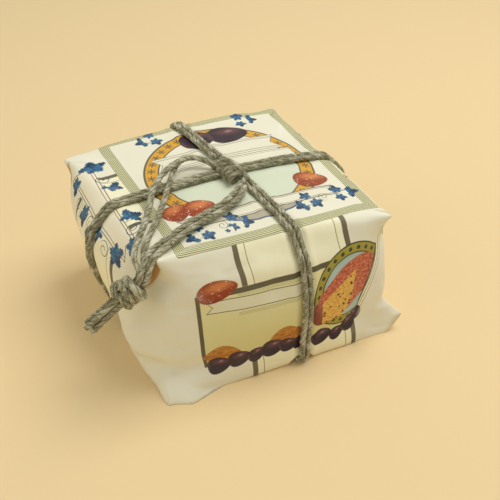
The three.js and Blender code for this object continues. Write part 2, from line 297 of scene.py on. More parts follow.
set_inputs(shader, {"Base Color": color, "Normal": bump(fibre - groove * 0.9, 0.75, 0.0005), "Roughness": 0.86,
                    "Specular IOR Level": 0.25, "Sheen Weight": 0.12})

TAIL_ROUTES = [
    [(-4, 8, 121), (-12, 13, 126.5), (-22, 15.5, 129.2), (-34, 13.5, 129.2), (-47, 7, 127), (-59, -3, 123.5),
     (-69, -19, 120), (-79, -34, 117.2), (-91, -49, 114), (-97.5, -61, 111.5), (-98.4, -70.8, 105.2)],
    [(-3, 14, 119), (-9, 21, 121.5), (-17, 25, 122.8), (-26, 24, 122.8), (-36, 14.5, 122.3),
     (-47, -2, 121.5), (-58, -18, 119.3), (-69, -33, 117.2), (-80, -46, 115.8), (-88.5, -56.5, 112.6),
     (-92.6, -65, 107.6), (-96.2, -70.2, 102.6)],
    [(3.5, -18.5, 120), (-6, -28, 119.4), (-20, -36, 118.4), (-35, -41, 117.8), (-51, -47, 117.4),
     (-66, -53.5, 117), (-79, -60, 116.8), (-88, -64.8, 115.4), (-95, -71.5, 112.8), (-100.8, -77.4, 106.4)],
    [(4, -24.5, 119.5), (-6, -34.5, 118.8), (-20, -42, 118.2), (-35, -47, 117.8), (-51, -53, 117.6),
     (-66, -60, 117.5), (-79, -66.5, 117), (-87.5, -71.5, 114.8), (-93, -75.8, 108.8), (-96.6, -78.2, 102.5)],
]
TAIL_KNOT = np.array((-105.5, -71.5, 94.5))
ends_way = np.array((-0.62, 0.27, -0.74))
ends_way /= np.linalg.norm(ends_way)
ends_across = np.cross(ends_way, (0, 0, 1))
ends_across /= np.linalg.norm(ends_across)
ends_beside = np.cross(ends_way, ends_across)
END_PLACES = [(-1, -1), (1, -1), (-1, 1), (1, 1)]
END_LENGTH = 31

tails = []
for i, (route, (a, b)) in enumerate(zip(TAIL_ROUTES, END_PLACES)):
    route = list(route)
    for share in np.linspace(-0.42, 1, 8):
        spread = max(share, 0) ** 2
        route.append(TAIL_KNOT + ends_way * (12.5 + END_LENGTH * share) + ends_across * a * (2.3 + 0.5 * spread)
                     + ends_beside * b * (2.3 + 0.4 * spread))
    path = smooth_path(np.array(route) / 1000, RING_STEP)
    tails.append((twine_piece(f"jute_tail_{i + 1}", path, 11 + i, 1500), path))


# ---- knot that joins the tails ---------------------------------------------------------------------
# An overhand knot pulled up in all four tails at once: fat slanting turns of twine round the bundle.
def fat_turn(first, last, turns, start, size, lean):
    """Places along slanting turns of twine round the bundle of tails."""
    places = []
    for t in np.linspace(0, 1, max(16, int(16 * turns))):
        angle = start + 2 * math.pi * turns * t
        tuck = 1 - 0.5 * (max(0, 1 - t / 0.12) + max(0, (t - 0.88) / 0.12))
        places.append(TAIL_KNOT + ends_way * (first + (last - first) * t + lean * math.cos(angle - 0.8))
                      + size * tuck * (math.cos(angle) * ends_across + math.sin(angle) * ends_beside))
    return places


def knotted(name, turns, seed, hairs_per_metre, radius):
    """One piece of several turns of twine."""
    bpy.ops.object.select_all(action="DESELECT")
    for number, places in enumerate(turns):
        path = smooth_path(np.array(places) / 1000, RING_STEP)
        turn = twine_piece(name if number == 0 else f"{name}_turn", path, seed + number, hairs_per_metre, radius)
        turn.select_set(True)
        if number == 0:
            knot = bpy.context.view_layer.objects.active = turn
    bpy.ops.object.join()
    return knot


tail_knot = knotted("jute_tail_knot", [
    fat_turn(-8.0, 3.4, 1.5, 0.6, 7.2, 3.6), fat_turn(-2.2, 9.2, 1.5, 0.6, 7.3, 3.6),
    fat_turn(8.0, -6.5, 0.8, 4.4, 9.0, -1.5)], 31, 1900, TWINE_RADIUS * 1.28)
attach(tail_knot, "root")
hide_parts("tail_knot")

for i, (tail, path) in enumerate(tails):
    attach(tail, "root")
    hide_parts(f"twine_tail_{i + 1}", f"twine_end_{i + 1}")

# ---- panettone -------------------------------------------------------------------------------------
# A low round loaf of sweet yeast dough with a browned, domed top that was scored lightly crosswise
# before baking. It stands in its case; its middle is pressed up by the twine that crosses under the sheet.
MM = 0.001
LOAF_SIDES, CASE_SIDES, BAG_SIDES = 120, 176, 112
PRESSED_UP = 5.3 * MM  # how far the middle of the base is raised
POLE = 0.5 * MM  # size of the first and last rings, before they are drawn to a point
DRAWN_FOOT = 7 * MM  # how far the foot of the wall is drawn in


def turned_piece(name, profile, sides):
    """A round piece drawn up ring by ring from (radius, height), as a potter would."""
    radius, height = profile[0]
    bpy.ops.object.select_all(action="DESELECT")
    bpy.ops.mesh.primitive_circle_add(vertices=sides, radius=radius, fill_type="NOTHING", location=(0, 0, height))
    piece = bpy.context.object
    piece.name = piece.data.name = name
    bpy.ops.object.transform_apply(location=True, rotation=True, scale=True)
    bpy.ops.object.mode_set(mode="EDIT")
    bpy.ops.mesh.select_all(action="SELECT")
    for next_radius, next_height in profile[1:]:
        bpy.ops.mesh.extrude_region_move(TRANSFORM_OT_translate={"value": (0, 0, next_height - height)})
        bpy.ops.transform.resize(value=(next_radius / radius, next_radius / radius, 1),
                                 center_override=(0, 0, next_height))
        radius, height = next_radius, next_height
    bpy.ops.object.mode_set(mode="OBJECT")
    return piece


def edit_where(piece, wanted, operator, **how):
    """Runs an edit operator on the vertices whose place is wanted."""
    bpy.ops.object.mode_set(mode="EDIT")
    bpy.ops.mesh.select_all(action="DESELECT")
    bpy.ops.object.mode_set(mode="OBJECT")
    for vertex in piece.data.vertices:
        vertex.select = bool(wanted(vertex.co))
    bpy.ops.object.mode_set(mode="EDIT")
    operator(**how)
    bpy.ops.object.mode_set(mode="OBJECT")


def close_poles(piece, low=True, high=True):
    """Draws the smallest rings to a point and turns all faces outwards."""
    middle = sum(v.co.z for v in piece.data.vertices) / len(piece.data.vertices)
    for wanted, above in ((low, False), (high, True)):
        if wanted:
            edit_where(piece, lambda co: math.hypot(co.x, co.y) < 1.5 * POLE and (co.z > middle) == above,
                       bpy.ops.mesh.merge, type="CENTER")
    bpy.ops.object.mode_set(mode="EDIT")
    bpy.ops.mesh.select_all(action="SELECT")
    bpy.ops.mesh.remove_doubles(threshold=0.00001)
    bpy.ops.mesh.normals_make_consistent(inside=False)
    bpy.ops.object.mode_set(mode="OBJECT")
    piece.data.shade_smooth()


def applied(piece, kind, **settings):
    """Gives the piece a modifier and applies it."""
    modifier = piece.modifiers.new(kind.lower(), kind)
    for key, value in settings.items():
        setattr(modifier, key, value)
    bpy.ops.object.modifier_apply(modifier=modifier.name)


def roughened(piece, label, size, strength, mid_level):
    """Moves the surface in and out by soft clouds of a size."""
    texture = bpy.data.textures.new(label, "CLOUDS")
    texture.noise_scale = size
    applied(piece, "DISPLACE", texture=texture, texture_coords="LOCAL", strength=strength, mid_level=mid_level)


def standing_wall(radius, base, rings, cut=6 * MM):
    """Profile from the pressed-up middle of the base, over its foot, drawn in by the tight paper, to the rim."""
    foot = radius - DRAWN_FOOT
    profile = [(POLE, base + PRESSED_UP), (0.034, base + PRESSED_UP), (0.043, base + 0.45 * PRESSED_UP),
               (0.052, base), (foot - cut, base), (radius - 0.3 * cut - 0.9 * DRAWN_FOOT, base + 0.3 * cut)]
    for k in range(rings + 1):
        up = cut + (rim_height - base - cut) * (k / rings) ** 1.5
        profile.append((radius - DRAWN_FOOT * math.exp(-up / (10 * MM)), base + up))
    return profile


def crown(radius, grow, top):
    """Profile of the risen top over the rim of the case, grown outwards for the bag."""
    rise = [(0.0002, 0.004), (-0.0008, 0.0085), (-0.0025, 0.013), (-0.0058, 0.0178), (-0.010, 0.022),
            (-0.0165, 0.0257), (-0.024, 0.0285), (-0.034, 0.0309), (-0.046, 0.033), (-0.058, 0.0341), (-0.072, 0.0350)]
    return [(radius + out + grow, rim_height + up + grow) for out, up in rise] + [(POLE, rim_height + top)]


rim_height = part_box("baking_case")[1][2]
loaf_low, loaf_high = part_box("panettone")
loaf_radius = (loaf_high[0] - loaf_low[0]) / 2 * 0.9985
loaf = turned_piece("panettone_loaf", standing_wall(loaf_radius, loaf_low[2], 9) + crown(loaf_radius, 0, 35.4 * MM),
                    LOAF_SIDES)
close_poles(loaf)
# the shallow cross cut, sunk a little and then further along its middle
for wide, move in ((2.2, -0.9), (0.9, -0.8)):
    edit_where(loaf, lambda co: (co.z > rim_height + 24 * MM and math.hypot(co.x, co.y) < 0.055
                                 and min(abs(co.x + co.y), abs(co.x - co.y)) < wide * 1.6 * MM + 0.002),
               bpy.ops.transform.translate, value=(0, 0, move * MM))
applied(loaf, "SUBSURF", levels=2, render_levels=2)
roughened(loaf, "blisters", 0.016, 0.9 * MM, 1.0)
roughened(loaf, "pores", 0.0045, 0.45 * MM, 1.0)

crust = new_material("crust", srgb(132, 74, 36))
place = add("TexCoord")["Object"]
level = add("SeparateXYZ", {0: place})[2]
bloom = clouds(place, 38.0, 6.0, 0.62)
grain = clouds(place, 420.0, 4.0)
pores = add("TexVoronoi", {"Vector": place, "Scale": 260.0})
baked = calc("ADD", step_up(level, rim_height - 0.01, rim_height + 0.026, 0.0, 0.75),
             step_up(bloom, 0.35, 0.65, -0.2, 0.3), clamp=True)
color = blend(baked, srgb(196, 134, 72), srgb(98, 50, 24))
color = blend(step_up(grain, 0.45, 0.7, 0.0, 0.35), color, srgb(214, 158, 92))
# painted shade: the pores are darkened
color = blend(step_up(pores, 0.12, 0.04, 0.0, 0.5), color, srgb(70, 34, 18))
relief = grain * 0.5 + step_up(pores, 0.0, 0.2, 0.0, 0.5)
set_inputs(shader, {"Base Color": color, "Roughness": step_up(bloom, 0.3, 0.7, 0.42, 0.66),
                    "Normal": bump(relief, 0.6, 0.001)})
loaf.data.materials.append(crust)
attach(loaf, "root")
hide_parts("panettone")

# ---- baking case -----------------------------------------------------------------------------------
# A stiff cup of brown baking paper, its wall pressed into fine upright pleats and its rim pinked.
case_low, case_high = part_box("baking_case")
case_radius = (case_high[0] - case_low[0]) / 2
CASE_WALL = 0.45 * MM
PLEAT = 0.4 * MM
case = turned_piece("baking_case_pleated", standing_wall(case_radius, case_low[2], 7), CASE_SIDES)
close_poles(case, high=False)
column_of = lambda co: round((math.atan2(co.y, co.x) / (2 * math.pi) % 1) * CASE_SIDES)
pleated = 1 - PLEAT / case_radius
edit_where(case, lambda co: co.z > case_low[2] + 5 * MM and column_of(co) % 2 == 0 and math.hypot(co.x, co.y) > 0.08,
           bpy.ops.transform.resize, value=(pleated, pleated, 1), center_override=(0, 0, rim_height))
edit_where(case, lambda co: co.z > rim_height - 1 * MM and column_of(co) % 4 < 2,
           bpy.ops.transform.translate, value=(0, 0, -1.2 * MM))
applied(case, "SOLIDIFY", thickness=CASE_WALL, offset=-1.0)

case_paper = new_material("case_paper", srgb(122, 78, 44))
place = add("TexCoord")["Object"]
fibre = clouds(place, 1400.0, 2.0)
color = blend(step_up(clouds(place, 60.0, 4.0), 0.35, 0.65), srgb(104, 62, 34), srgb(140, 92, 54))
color = blend(step_up(fibre, 0.55, 0.7, 0.0, 0.4), color, srgb(168, 120, 76))
set_inputs(shader, {"Base Color": color, "Normal": bump(fibre, 0.4, 0.0003), "Roughness": 0.7})
case.data.materials.append(case_paper)
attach(case, "root")
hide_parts("baking_case")

# ---- film bag --------------------------------------------------------------------------------------
# A bag of clear film drawn close over the loaf and its case, a little crumpled, its mouth turned under.
bag_low, bag_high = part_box("film_bag")
bag_radius = (bag_high[0] - bag_low[0]) / 2 - 0.3 * MM
BAG_MOUTH = 8 * MM
FILM = 0.25 * MM
profile = standing_wall(bag_radius, bag_low[2], 9) + crown(bag_radius - 0.9 * MM, 0.95 * MM, 36.6 * MM)
bag = turned_piece("film_bag_drawn", [(BAG_MOUTH, bag_low[2] + PRESSED_UP)] + profile[1:], BAG_SIDES)
close_poles(bag, low=False)
roughened(bag, "crumple of film", 0.02, 0.3 * MM, 0.5)
applied(bag, "SOLIDIFY", thickness=FILM, offset=-1.0)

bag_film = new_material("bag_film", srgb(236, 238, 238))
crinkle = clouds(add("TexCoord")["Object"], 90.0, 3.0, distortion=1.2)
set_inputs(shader, {"Normal": bump(crinkle, 0.35, 0.001), "Base Color": srgb(246, 248, 248), "Roughness": 0.06,
                    "IOR": 1.45, "Transmission Weight": 1.0})
bag.data.materials.append(bag_film)
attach(bag, "root")
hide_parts("film_bag")

# ---- paper wrap, the sheet itself ------------------------------------------------------------------
# One large sheet of printed paper, folded by hand round the bagged loaf: the middle of the sheet lies on
# top, its front and back hang down as whole panels, and its two ends are folded in under pointed flaps.
FRONT, RIGHT, BACK, LEFT = range(4)
CORNERS = np.array([
    [(-87, -89, 0), (-85, -76, 112.5)],
    [(91, -92, 0), (92, -86, 106)],
    [(92, 93, 0), (90, 89.5, 110)],
    [(-79, 88, 0), (-98, 86, 108)],
], float)
BULGE = np.array((11.5, 18, 9.5, 18))
DRAWN_IN = np.array((7.5, 3, -2.5, 3))
RAISED = np.array((0, 0, 4.0, 0))
LIFT = np.array((1.0, 1.7, 1.0, 1.7))
SKIRT = 5.5  # the lowest part of the front panel stands out
KNOT_X, KNOT_Y, TOP_Z = 8.5, 4.0, 114.5
ACROSS = 120  # faces along each side of a panel
DOWN = 72  # faces down each side
SIDE_LONG, SIDE_TALL, TOP_HALF = 185, 110, 92  # rough measures of the parcel, for distances along the sheet


def unit(value):
    return np.clip(value, 0, 1)


def ramp(low, high, value):
    share = unit((value - low) / (high - low))
    return share * share * (3 - 2 * share)


def bell(value, wide):
    return np.exp(-(value / wide) ** 2)


def side_point(turn, height):
    """On the side of the parcel: turn 0 to 4 round it, height 0 at the ground to 1 at the upper edge."""
    turn, height = np.broadcast_arrays(np.asarray(turn, float), np.asarray(height, float))
    side = np.floor(turn).astype(int) % 4
    share = turn - np.floor(turn)
    up = height[..., None]
    start, end = (CORNERS[corner, 0] + (CORNERS[corner, 1] - CORNERS[corner, 0]) * up
                  for corner in (side, (side + 1) % 4))
    swell = BULGE[side] * np.sin(np.pi * unit(height) ** LIFT[side]).clip(0) ** 0.8
    out = (swell - DRAWN_IN[side] * ramp(0.8, 1, height)) * (1 - (2 * share - 1) ** 2)
    way = np.stack([end[..., 1] - start[..., 1], start[..., 0] - end[..., 0], 0 * share], -1)
    way /= np.linalg.norm(way, axis=-1)[..., None]
    place = start + (end - start) * share[..., None] + way * out[..., None]
    place[..., 2] += RAISED[side] * ramp(0.7, 1, height) * (1 - (2 * share - 1) ** 4)
    skirt = np.where(side == FRONT, ramp(0.0, 0.10, share), np.where(side == RIGHT, ramp(0.25, 0.0, share), 0))
    place[..., 1] -= SKIRT * skirt * ramp(0.26, 0.0, height)
    return place


def spread_point(turn, reach, crown):
    """Between the middle of the top or underside and its edge."""
    edge = side_point(turn, 1.0 if crown else 0.0)
    reach = np.asarray(reach, float)
    x = KNOT_X + (edge[..., 0] - KNOT_X) * reach
    y = KNOT_Y + (edge[..., 1] - KNOT_Y) * reach
    z = TOP_Z + (edge[..., 2] - TOP_Z) * reach ** 2.2 if crown else 0 * x
    return np.stack([x, y, z], -1)


# The skin is a grid: a square of the top, four sides of columns, and a square of the underside.
grid = np.arange(ACROSS + 1)
s_of, t_of = np.meshgrid(2 * grid / ACROSS - 1, 2 * grid / ACROSS - 1, indexing="ij")
reach_of = np.maximum(np.abs(s_of), np.abs(t_of))
safe = np.where(reach_of > 0, reach_of, 1)
turn_of = np.select(
    [(-t_of >= reach_of), (s_of >= reach_of), (t_of >= reach_of)],
    [(s_of / safe + 1) / 2, 1 + (t_of / safe + 1) / 2, 2 + (1 - s_of / safe) / 2],
    3 + (1 - t_of / safe) / 2) % 4
rim_i = np.r_[grid[:-1], np.full(ACROSS, ACROSS), grid[:0:-1], np.zeros(ACROSS, int)]
rim_j = np.roll(rim_i, ACROSS)
top_index = grid[:, None] * (ACROSS + 1) + grid[None, :]
around = 4 * ACROSS
n_top = (ACROSS + 1) ** 2
n_side = around * (DOWN - 1)
base_index = n_top + n_side + top_index
side_index = np.vstack([top_index[rim_i, rim_j][None], n_top + np.arange(n_side).reshape(DOWN - 1, around),
                        base_index[rim_i, rim_j][None]])
column, row = np.meshgrid(np.arange(around) / ACROSS, 1 - np.arange(1, DOWN) / DOWN)
skin = np.vstack([spread_point(turn_of, reach_of, True).reshape(-1, 3), side_point(column, row).reshape(-1, 3),
                  spread_point(turn_of, reach_of, False).reshape(-1, 3)])
skin_turn = np.r_[turn_of.ravel(), column.ravel(), turn_of.ravel()]
skin_height = np.r_[np.ones(n_top), row.ravel(), np.zeros(n_top)]
skin_reach = np.r_[reach_of.ravel(), np.ones(n_side), reach_of.ravel()]


def quads(index):
    """The faces of a grid of vertex numbers."""
    return np.stack([index[:-1, :-1], index[1:, :-1], index[1:, 1:], index[:-1, 1:]], -1).reshape(-1, 4)


top_faces = quads(top_index)
side_faces = np.stack([side_index[:-1], side_index[1:], np.roll(side_index, -1, axis=1)[1:],
                       np.roll(side_index, -1, axis=1)[:-1]], -1).reshape(-1, 4)
faces = np.vstack([top_faces, side_faces, quads(base_index)[:, [0, 3, 2, 1]]])

# What the sheet has to hold: its printed places, before anything is creased or rounded.
flat_place = skin.copy()
edge_at = side_point(skin_turn, 1.0)
drop = np.linalg.norm(skin - edge_at, axis=1) * (skin_reach >= 1)
side_of = np.floor(skin_turn).astype(int) % 4
share_of = skin_turn - np.floor(skin_turn)
on_wall = skin_reach >= 1
inside_top, inside_base = (skin_height >= 1) & ~on_wall, (skin_height <= 0) & ~on_wall
from_rim = (1 - skin_reach) * TOP_HALF  # distance in from the edge of the top or the underside

edges = np.vstack([faces[:, [k, (k + 1) % 4]] for k in range(4)])
links = np.unique(np.sort(edges, axis=1), axis=0)
link_count = np.bincount(links.ravel(), minlength=len(skin)).astype(float)


def relaxed(points, weight, rounds):
    """Each point drawn towards the mean of its neighbours by its weight, over and over."""
    for _ in range(rounds):
        total = np.stack([np.bincount(links[:, 0], points[links[:, 1], k], len(points))
                          + np.bincount(links[:, 1], points[links[:, 0], k], len(points)) for k in range(3)], 1)
        points = points + weight[:, None] * (total / link_count[:, None] - points)
    return points


def normals_of(points):
    face_normal = np.cross(points[faces[:, 2]] - points[faces[:, 0]], points[faces[:, 3]] - points[faces[:, 1]])
    result = np.zeros_like(points)
    for k in range(4):
        for axis in range(3):
            result[:, axis] += np.bincount(faces[:, k], face_normal[:, axis], len(points))
    return result / np.linalg.norm(result, axis=1)[:, None].clip(1e-9)


def past_corner(corner):
    """Distance along the sides from a corner, less than 0 before it."""
    return ((skin_turn - corner + 2) % 4 - 2) * SIDE_LONG


def inward_at(corner):
    low = CORNERS[corner, 0]
    return -(low * (1, 1, 0)) / np.linalg.norm(low[:2])


# Soft shoulders: the upper edge is rolled over the loaf between the corners and stays pointed at them.
to_corner = np.minimum(share_of, 1 - share_of) * SIDE_LONG
to_upper = np.where(skin_height >= 1, from_rim, (1 - skin_height) * SIDE_TALL)
shoulder = bell(to_upper, 7.5) * (0.08 + 0.92 * ramp(3, 30, to_corner))
skin += (shoulder * ramp(3, 30, to_corner))[:, None] * (normals_of(skin) * 1.6 + (0, 0, 1.2))
upright = on_wall * ramp(0.05, 0.3, skin_height) * ramp(1.0, 0.86, skin_height)
upright = upright * np.maximum(bell(to_corner, 8), bell(past_corner(0), 18))
skin = relaxed(skin, 0.9 * upright * ramp(4, 22, np.abs(past_corner(3))), 40)
skin = relaxed(skin, np.clip(shoulder, 0, 0.9), 16)

# Beaks where the sheet is pinched at the upper corners: pushed out at the top, drawn in below.
BEAKS = [(0, (-2.5, 0.5, 2.6), 4.0), (1, (3.0, -1.0, 0.3), 3.0), (2, (0, 0, 1.6), 2.5), (3, (-1.5, 1, 0.3), 0.8)]
for corner, push, pull in BEAKS:
    apart = past_corner(corner)
    tip = np.where(inside_top, bell(to_upper, 8) * bell(apart * skin_reach, 14), bell(to_upper, 5) * bell(apart, 9))
    skin += tip[:, None] * np.array(push)
    below = bell(skin_height - 0.84, 0.085) * bell(apart, 13) * on_wall
    skin += below[:, None] * inward_at(corner) * pull

# Dog-ears of folded sheet at the lower corners: (corner, way out, size, height of the peak, fade over it,
# reach along the side after the corner, reach before it).
EARS = [
    (1, (1.0, -0.16), 21.5, 13.5, 22.0, 17.0, 3.0),
    (2, (1.0, 0.0), 12.0, 9.0, 26.0, 3.0, 10.0),
]
EDGE_UNDER = 12  # how far in under the parcel the folded-out corners still show
under_edge = unit(1 - from_rim / EDGE_UNDER)
for corner, way, size, peak, fade, after, before in EARS:
    apart = past_corner(corner)
    z = skin_height * SIDE_TALL
    tall = np.where(z < peak, 0.25 + 0.75 * (z / peak), unit(1 - (z - peak) / fade) ** 1.3)
    near = unit(1 - np.where(apart > 0, apart / after, -apart / before)) * on_wall
    near = np.where(inside_base, unit(1 - np.abs(apart) / EDGE_UNDER) * under_edge, near)
    skin[:, :2] += (size * tall * near)[:, None] * np.array(way)

# The lower corner at the front left is folded out flat: a facet that rises from the table to a crease.
FACET_ALONG, FACET_BEHIND, FACET_HIGH, FACET_OUT = 42.0, 16.0, 16.0, (-3.0, -7.5)
along_front = past_corner(0)
to_end = np.where(along_front > 0, 1 - along_front / FACET_ALONG, 1 + along_front / FACET_BEHIND).clip(0)
crease_line = np.maximum(FACET_HIGH * to_end ** np.where(along_front > 0, 1.6, 0.75), 0.01)
flare = unit(1 - skin_height * SIDE_TALL / crease_line) * on_wall
flare = np.minimum(1, 1.7 * to_end) * np.where(inside_base, under_edge, flare)
skin[:, :2] += flare[:, None] * np.array(FACET_OUT)

# Above the ear at the front left the panel is drawn in, so that the folded corner lies out on the table;
# at the front right the edge between the upper corner and the ear stands full.
for corner, pull, at, wide, reach_mm in ((0, 7.0, 0.18, 0.08, 30.0), (1, -5.0, 0.42, 0.24, 15.0)):
    amount = bell(skin_height - at, wide) * bell(past_corner(corner), reach_mm) * on_wall
    skin += amount[:, None] * inward_at(corner) * pull

# The foot of the left end swings out beside that corner.
swing = bell(skin_height - 0.20, 0.24) * ramp(6, -28, along_front) * bell(np.minimum(along_front + 34, 0), 40)
skin[:, 0] -= 13.0 * swing * on_wall

# Creases, as lines on one panel: (first point, last point, height, half width, kind). Front and back
# panels use (x, z), the ends (y, z), the top and underside (x, y).
RIDGE, VALLEY, STEP = 1, -1, 0
CREASES = {
    "front": [
        ((-84, 108), (-40, 92), 1.0, 5.0, RIDGE), ((-92, 78), (-62, 70), 0.9, 4.5, RIDGE),
        ((-82, 104), (-48, 72), 0.6, 6.0, RIDGE), ((-92, 56), (-60, 44), 0.7, 4.0, RIDGE),
        ((-70, 98), (-10, 97), 0.8, 4.0, VALLEY), ((-90, 17), (-78, 12), 1.2, 1.2, RIDGE),
        ((-79, 12.5), (-63, 1), 1.2, 1.2, RIDGE), ((-60, 52), (-86, 70), 0.6, 7.0, RIDGE),
        ((-89, 50), (-66, 34), 0.6, 6.0, VALLEY), ((90, 103), (64, 22), 1.5, 1.1, STEP),
        ((86, 60), (98, 14), 1.3, 3.5, VALLEY), ((64, 22), (58, 6), 0.9, 1.2, STEP),
        ((78, 30), (104, 12), 1.4, 3.0, RIDGE), ((74, 12), (101, 6), 0.9, 2.5, VALLEY),
        ((88, 92), (92, 40), 0.9, 3.0, VALLEY), ((-2, 100), (-14, 60), 0.5, 2.5, VALLEY),
        ((28, 98), (34, 66), 0.5, 2.5, VALLEY), ((-20, 10), (14, 8), 0.5, 2.2, VALLEY),
        ((-86, 74), (-64, 80), 0.7, 2.2, VALLEY)],
    "top": [
        ((-84, -74), (-40, -62), 0.9, 3.0, RIDGE), ((-84, -70), (-66, -30), 0.8, 4.0, VALLEY),
        ((90, -84), (60, -72), 0.9, 3.0, RIDGE), ((88, 82), (70, 40), 1.2, 3.0, RIDGE),
        ((90, 60), (76, 10), 1.0, 2.5, VALLEY), ((84, 40), (90, -20), 0.9, 2.0, RIDGE),
        ((-94, 84), (-60, 60), 0.8, 5.0, RIDGE), ((-20, 84), (-2, 40), 0.5, 4.0, VALLEY),
        ((24, -74), (15, -40), 0.5, 3.0, RIDGE), ((2, -74), (6, -40), 0.5, 3.0, RIDGE),
        ((-92, 30), (-60, 14), 0.6, 3.0, RIDGE), ((-92, -16), (-60, -6), 0.6, 3.0, RIDGE),
        ((-50, -52), (-20, -66), 0.5, 4.0, RIDGE), ((40, -60), (70, -30), 0.4, 5.0, RIDGE)],
    "right": [
        ((-86, 104), (10, 6), 1.1, 1.3, STEP), ((88, 104), (10, 6), -1.1, 1.3, STEP),
        ((-88, 70), (-60, 10), 1.0, 4.0, VALLEY), ((86, 66), (60, 10), 1.0, 4.0, VALLEY),
        ((-84, 100), (-70, 40), 0.9, 3.0, RIDGE), ((80, 96), (70, 40), 0.9, 3.0, RIDGE),
        ((-20, 100), (-30, 40), 0.7, 4.0, VALLEY), ((26, 100), (40, 50), 0.7, 4.0, RIDGE)],
    "back": [
        ((-88, 104), (-40, 88), 1.2, 3.5, RIDGE), ((88, 104), (50, 84), 1.2, 3.5, RIDGE),
        ((-86, 96), (-70, 30), 1.2, 4.0, VALLEY), ((84, 96), (74, 30), 1.1, 4.0, VALLEY),
        ((-30, 98), (-40, 50), 0.7, 3.5, VALLEY), ((40, 98), (48, 56), 0.7, 3.5, RIDGE),
        ((-86, 20), (-50, 8), 1.0, 2.5, RIDGE), ((84, 22), (56, 8), 1.0, 2.5, RIDGE)],
    "left": [
        ((-88, 60), (-40, 40), 0.6, 6.0, RIDGE), ((-90, 28), (-30, 22), 0.7, 5.0, VALLEY),
        ((80, 100), (74, 30), 1.3, 4.0, VALLEY), ((84, 60), (60, 12), 0.7, 5.0, RIDGE)],
    "base": [
        ((-90, 30), (90, 30), 0.6, 0.8, STEP), ((-90, -60), (-40, 28), 0.5, 0.8, STEP),
        ((90, -60), (40, 28), -0.5, 0.8, STEP), ((-88, 86), (-50, 34), 0.4, 0.8, STEP),
        ((88, 86), (50, 34), -0.4, 0.8, STEP)],
}
PANELS = {  # where each panel is, and the two axes of its creases
    "front": ((side_of == FRONT) & on_wall, (0, 2)), "right": ((side_of == RIGHT) & on_wall, (1, 2)),
    "back": ((side_of == BACK) & on_wall, (0, 2)), "left": ((side_of == LEFT) & on_wall, (1, 2)),
    "top": (skin_height >= 1, (0, 1)), "base": (skin_height <= 0, (0, 1)),
}
relief = np.zeros(len(skin))
for panel, creases in CREASES.items():
    here, axes = PANELS[panel]
    u, v = (flat_place[:, axis] for axis in axes)
    edge_fade = ramp(0.0, 0.08, 1 - skin_reach) * 0.7 + 0.3 if axes == (0, 1) else ramp(0, 0.05, skin_height)
    for (u1, v1), (u2, v2), size, wide, kind in creases:
        length = math.hypot(u2 - u1, v2 - v1)
        way = ((u2 - u1) / length, (v2 - v1) / length)
        along = (u - u1) * way[0] + (v - v1) * way[1]
        bend = 1.6 * np.sin(along / 11 + size * 7)
        off = -(u - u1) * way[1] + (v - v1) * way[0] + bend * ramp(0, 15, along) * ramp(length, length - 15, along)
        ends = ramp(-4, 12, along) * ramp(length + 4, length - 16, along)
        if kind == STEP:
            shape = (1 / (1 + np.exp(-np.clip(off / (0.35 * wide), -30, 30)))) * np.exp(-np.clip(off, 0, None) / 26)
        else:
            shape = np.exp(-np.abs(off) / wide) * kind
        relief += np.where(here, size * shape * ends * edge_fade, 0)
crease_relief = relief.copy()

# Slack: broad soft undulations, smaller ones on the sides, and a fine handled crumple.
waves = np.array([noise.noise(Vector(p / 34)) + noise.noise(Vector(p / 15 + 40)) * 0.42
                  + 0.35 * abs(noise.noise(Vector(p / 22 + 90))) for p in flat_place])
between_rims = on_wall & (skin_height > 0) & (skin_height < 1)
relief += waves * np.where(skin_height <= 0, 0.0, np.where(between_rims, 1.5, 0.8))
skin = skin + normals_of(skin) * relief[:, None]

# Where twine presses on the sheet, it gives way.
BAND_WAY = np.array((-0.1, 1.0, 0)) / math.hypot(0.1, 1)
TWINE_CLEAR, TWINE_FLOOR = 2.85, 2.45  # height of the middle of a strand over the sheet and over the table
PITCH = 2.35  # half the distance between the two strands of a band
STRAND_STEP = 0.85
CLIMB = 2 * 2.15 + 0.35  # under the base one band passes over the other


def turn_towards(side, way, height):
    """Where a level line from the knot meets a side at some height."""
    low, high = float(side), side + 0.9999
    for _ in range(30):
        middle = (low + high) / 2
        edge = side_point(middle, height)
        if way[0] * (edge[1] - KNOT_Y) - way[1] * (edge[0] - KNOT_X) < 0:
            low = middle
        else:
            high = middle
    return low


def half_band(side, way, start, beside):
    """Half of a strand that goes round the parcel, from beside the knot to under the base."""
    sideways = np.array((-way[1], way[0], 0))
    edge_turn, base_turn = turn_towards(side, way, 1.0), turn_towards(side, way, 0.0)
    down = lambda height: side_point(turn_towards(side, way, height), height)
    places = [lambda shift, r=r: spread_point(edge_turn, r + shift, True) for r in (start, 0.45, 0.72, 0.88, 0.96)]
    places += [lambda shift, h=h: down(h - shift) for h in (0.995, 0.96, 0.91, 0.83, 0.68, 0.5, 0.33, 0.18, 0.08)]
    points = []
    for place in places:
        point = place(0)
        ahead = place(0.01) - point
        normal = np.cross(ahead / np.linalg.norm(ahead), sideways)
        normal /= np.linalg.norm(normal)
        points.append(point + normal * (-TWINE_CLEAR if normal.dot(way) + normal[2] < 0 else TWINE_CLEAR))
    rim = down(0.0) + way * 1.9
    points.append(np.array((rim[0], rim[1], TWINE_FLOOR + 1.5)))
    for reach in (0.94, 0.84, 0.55):
        point = spread_point(base_turn, reach, False)
        points.append(np.array((point[0], point[1], TWINE_FLOOR)))
    return [p + sideways * beside for p in points]


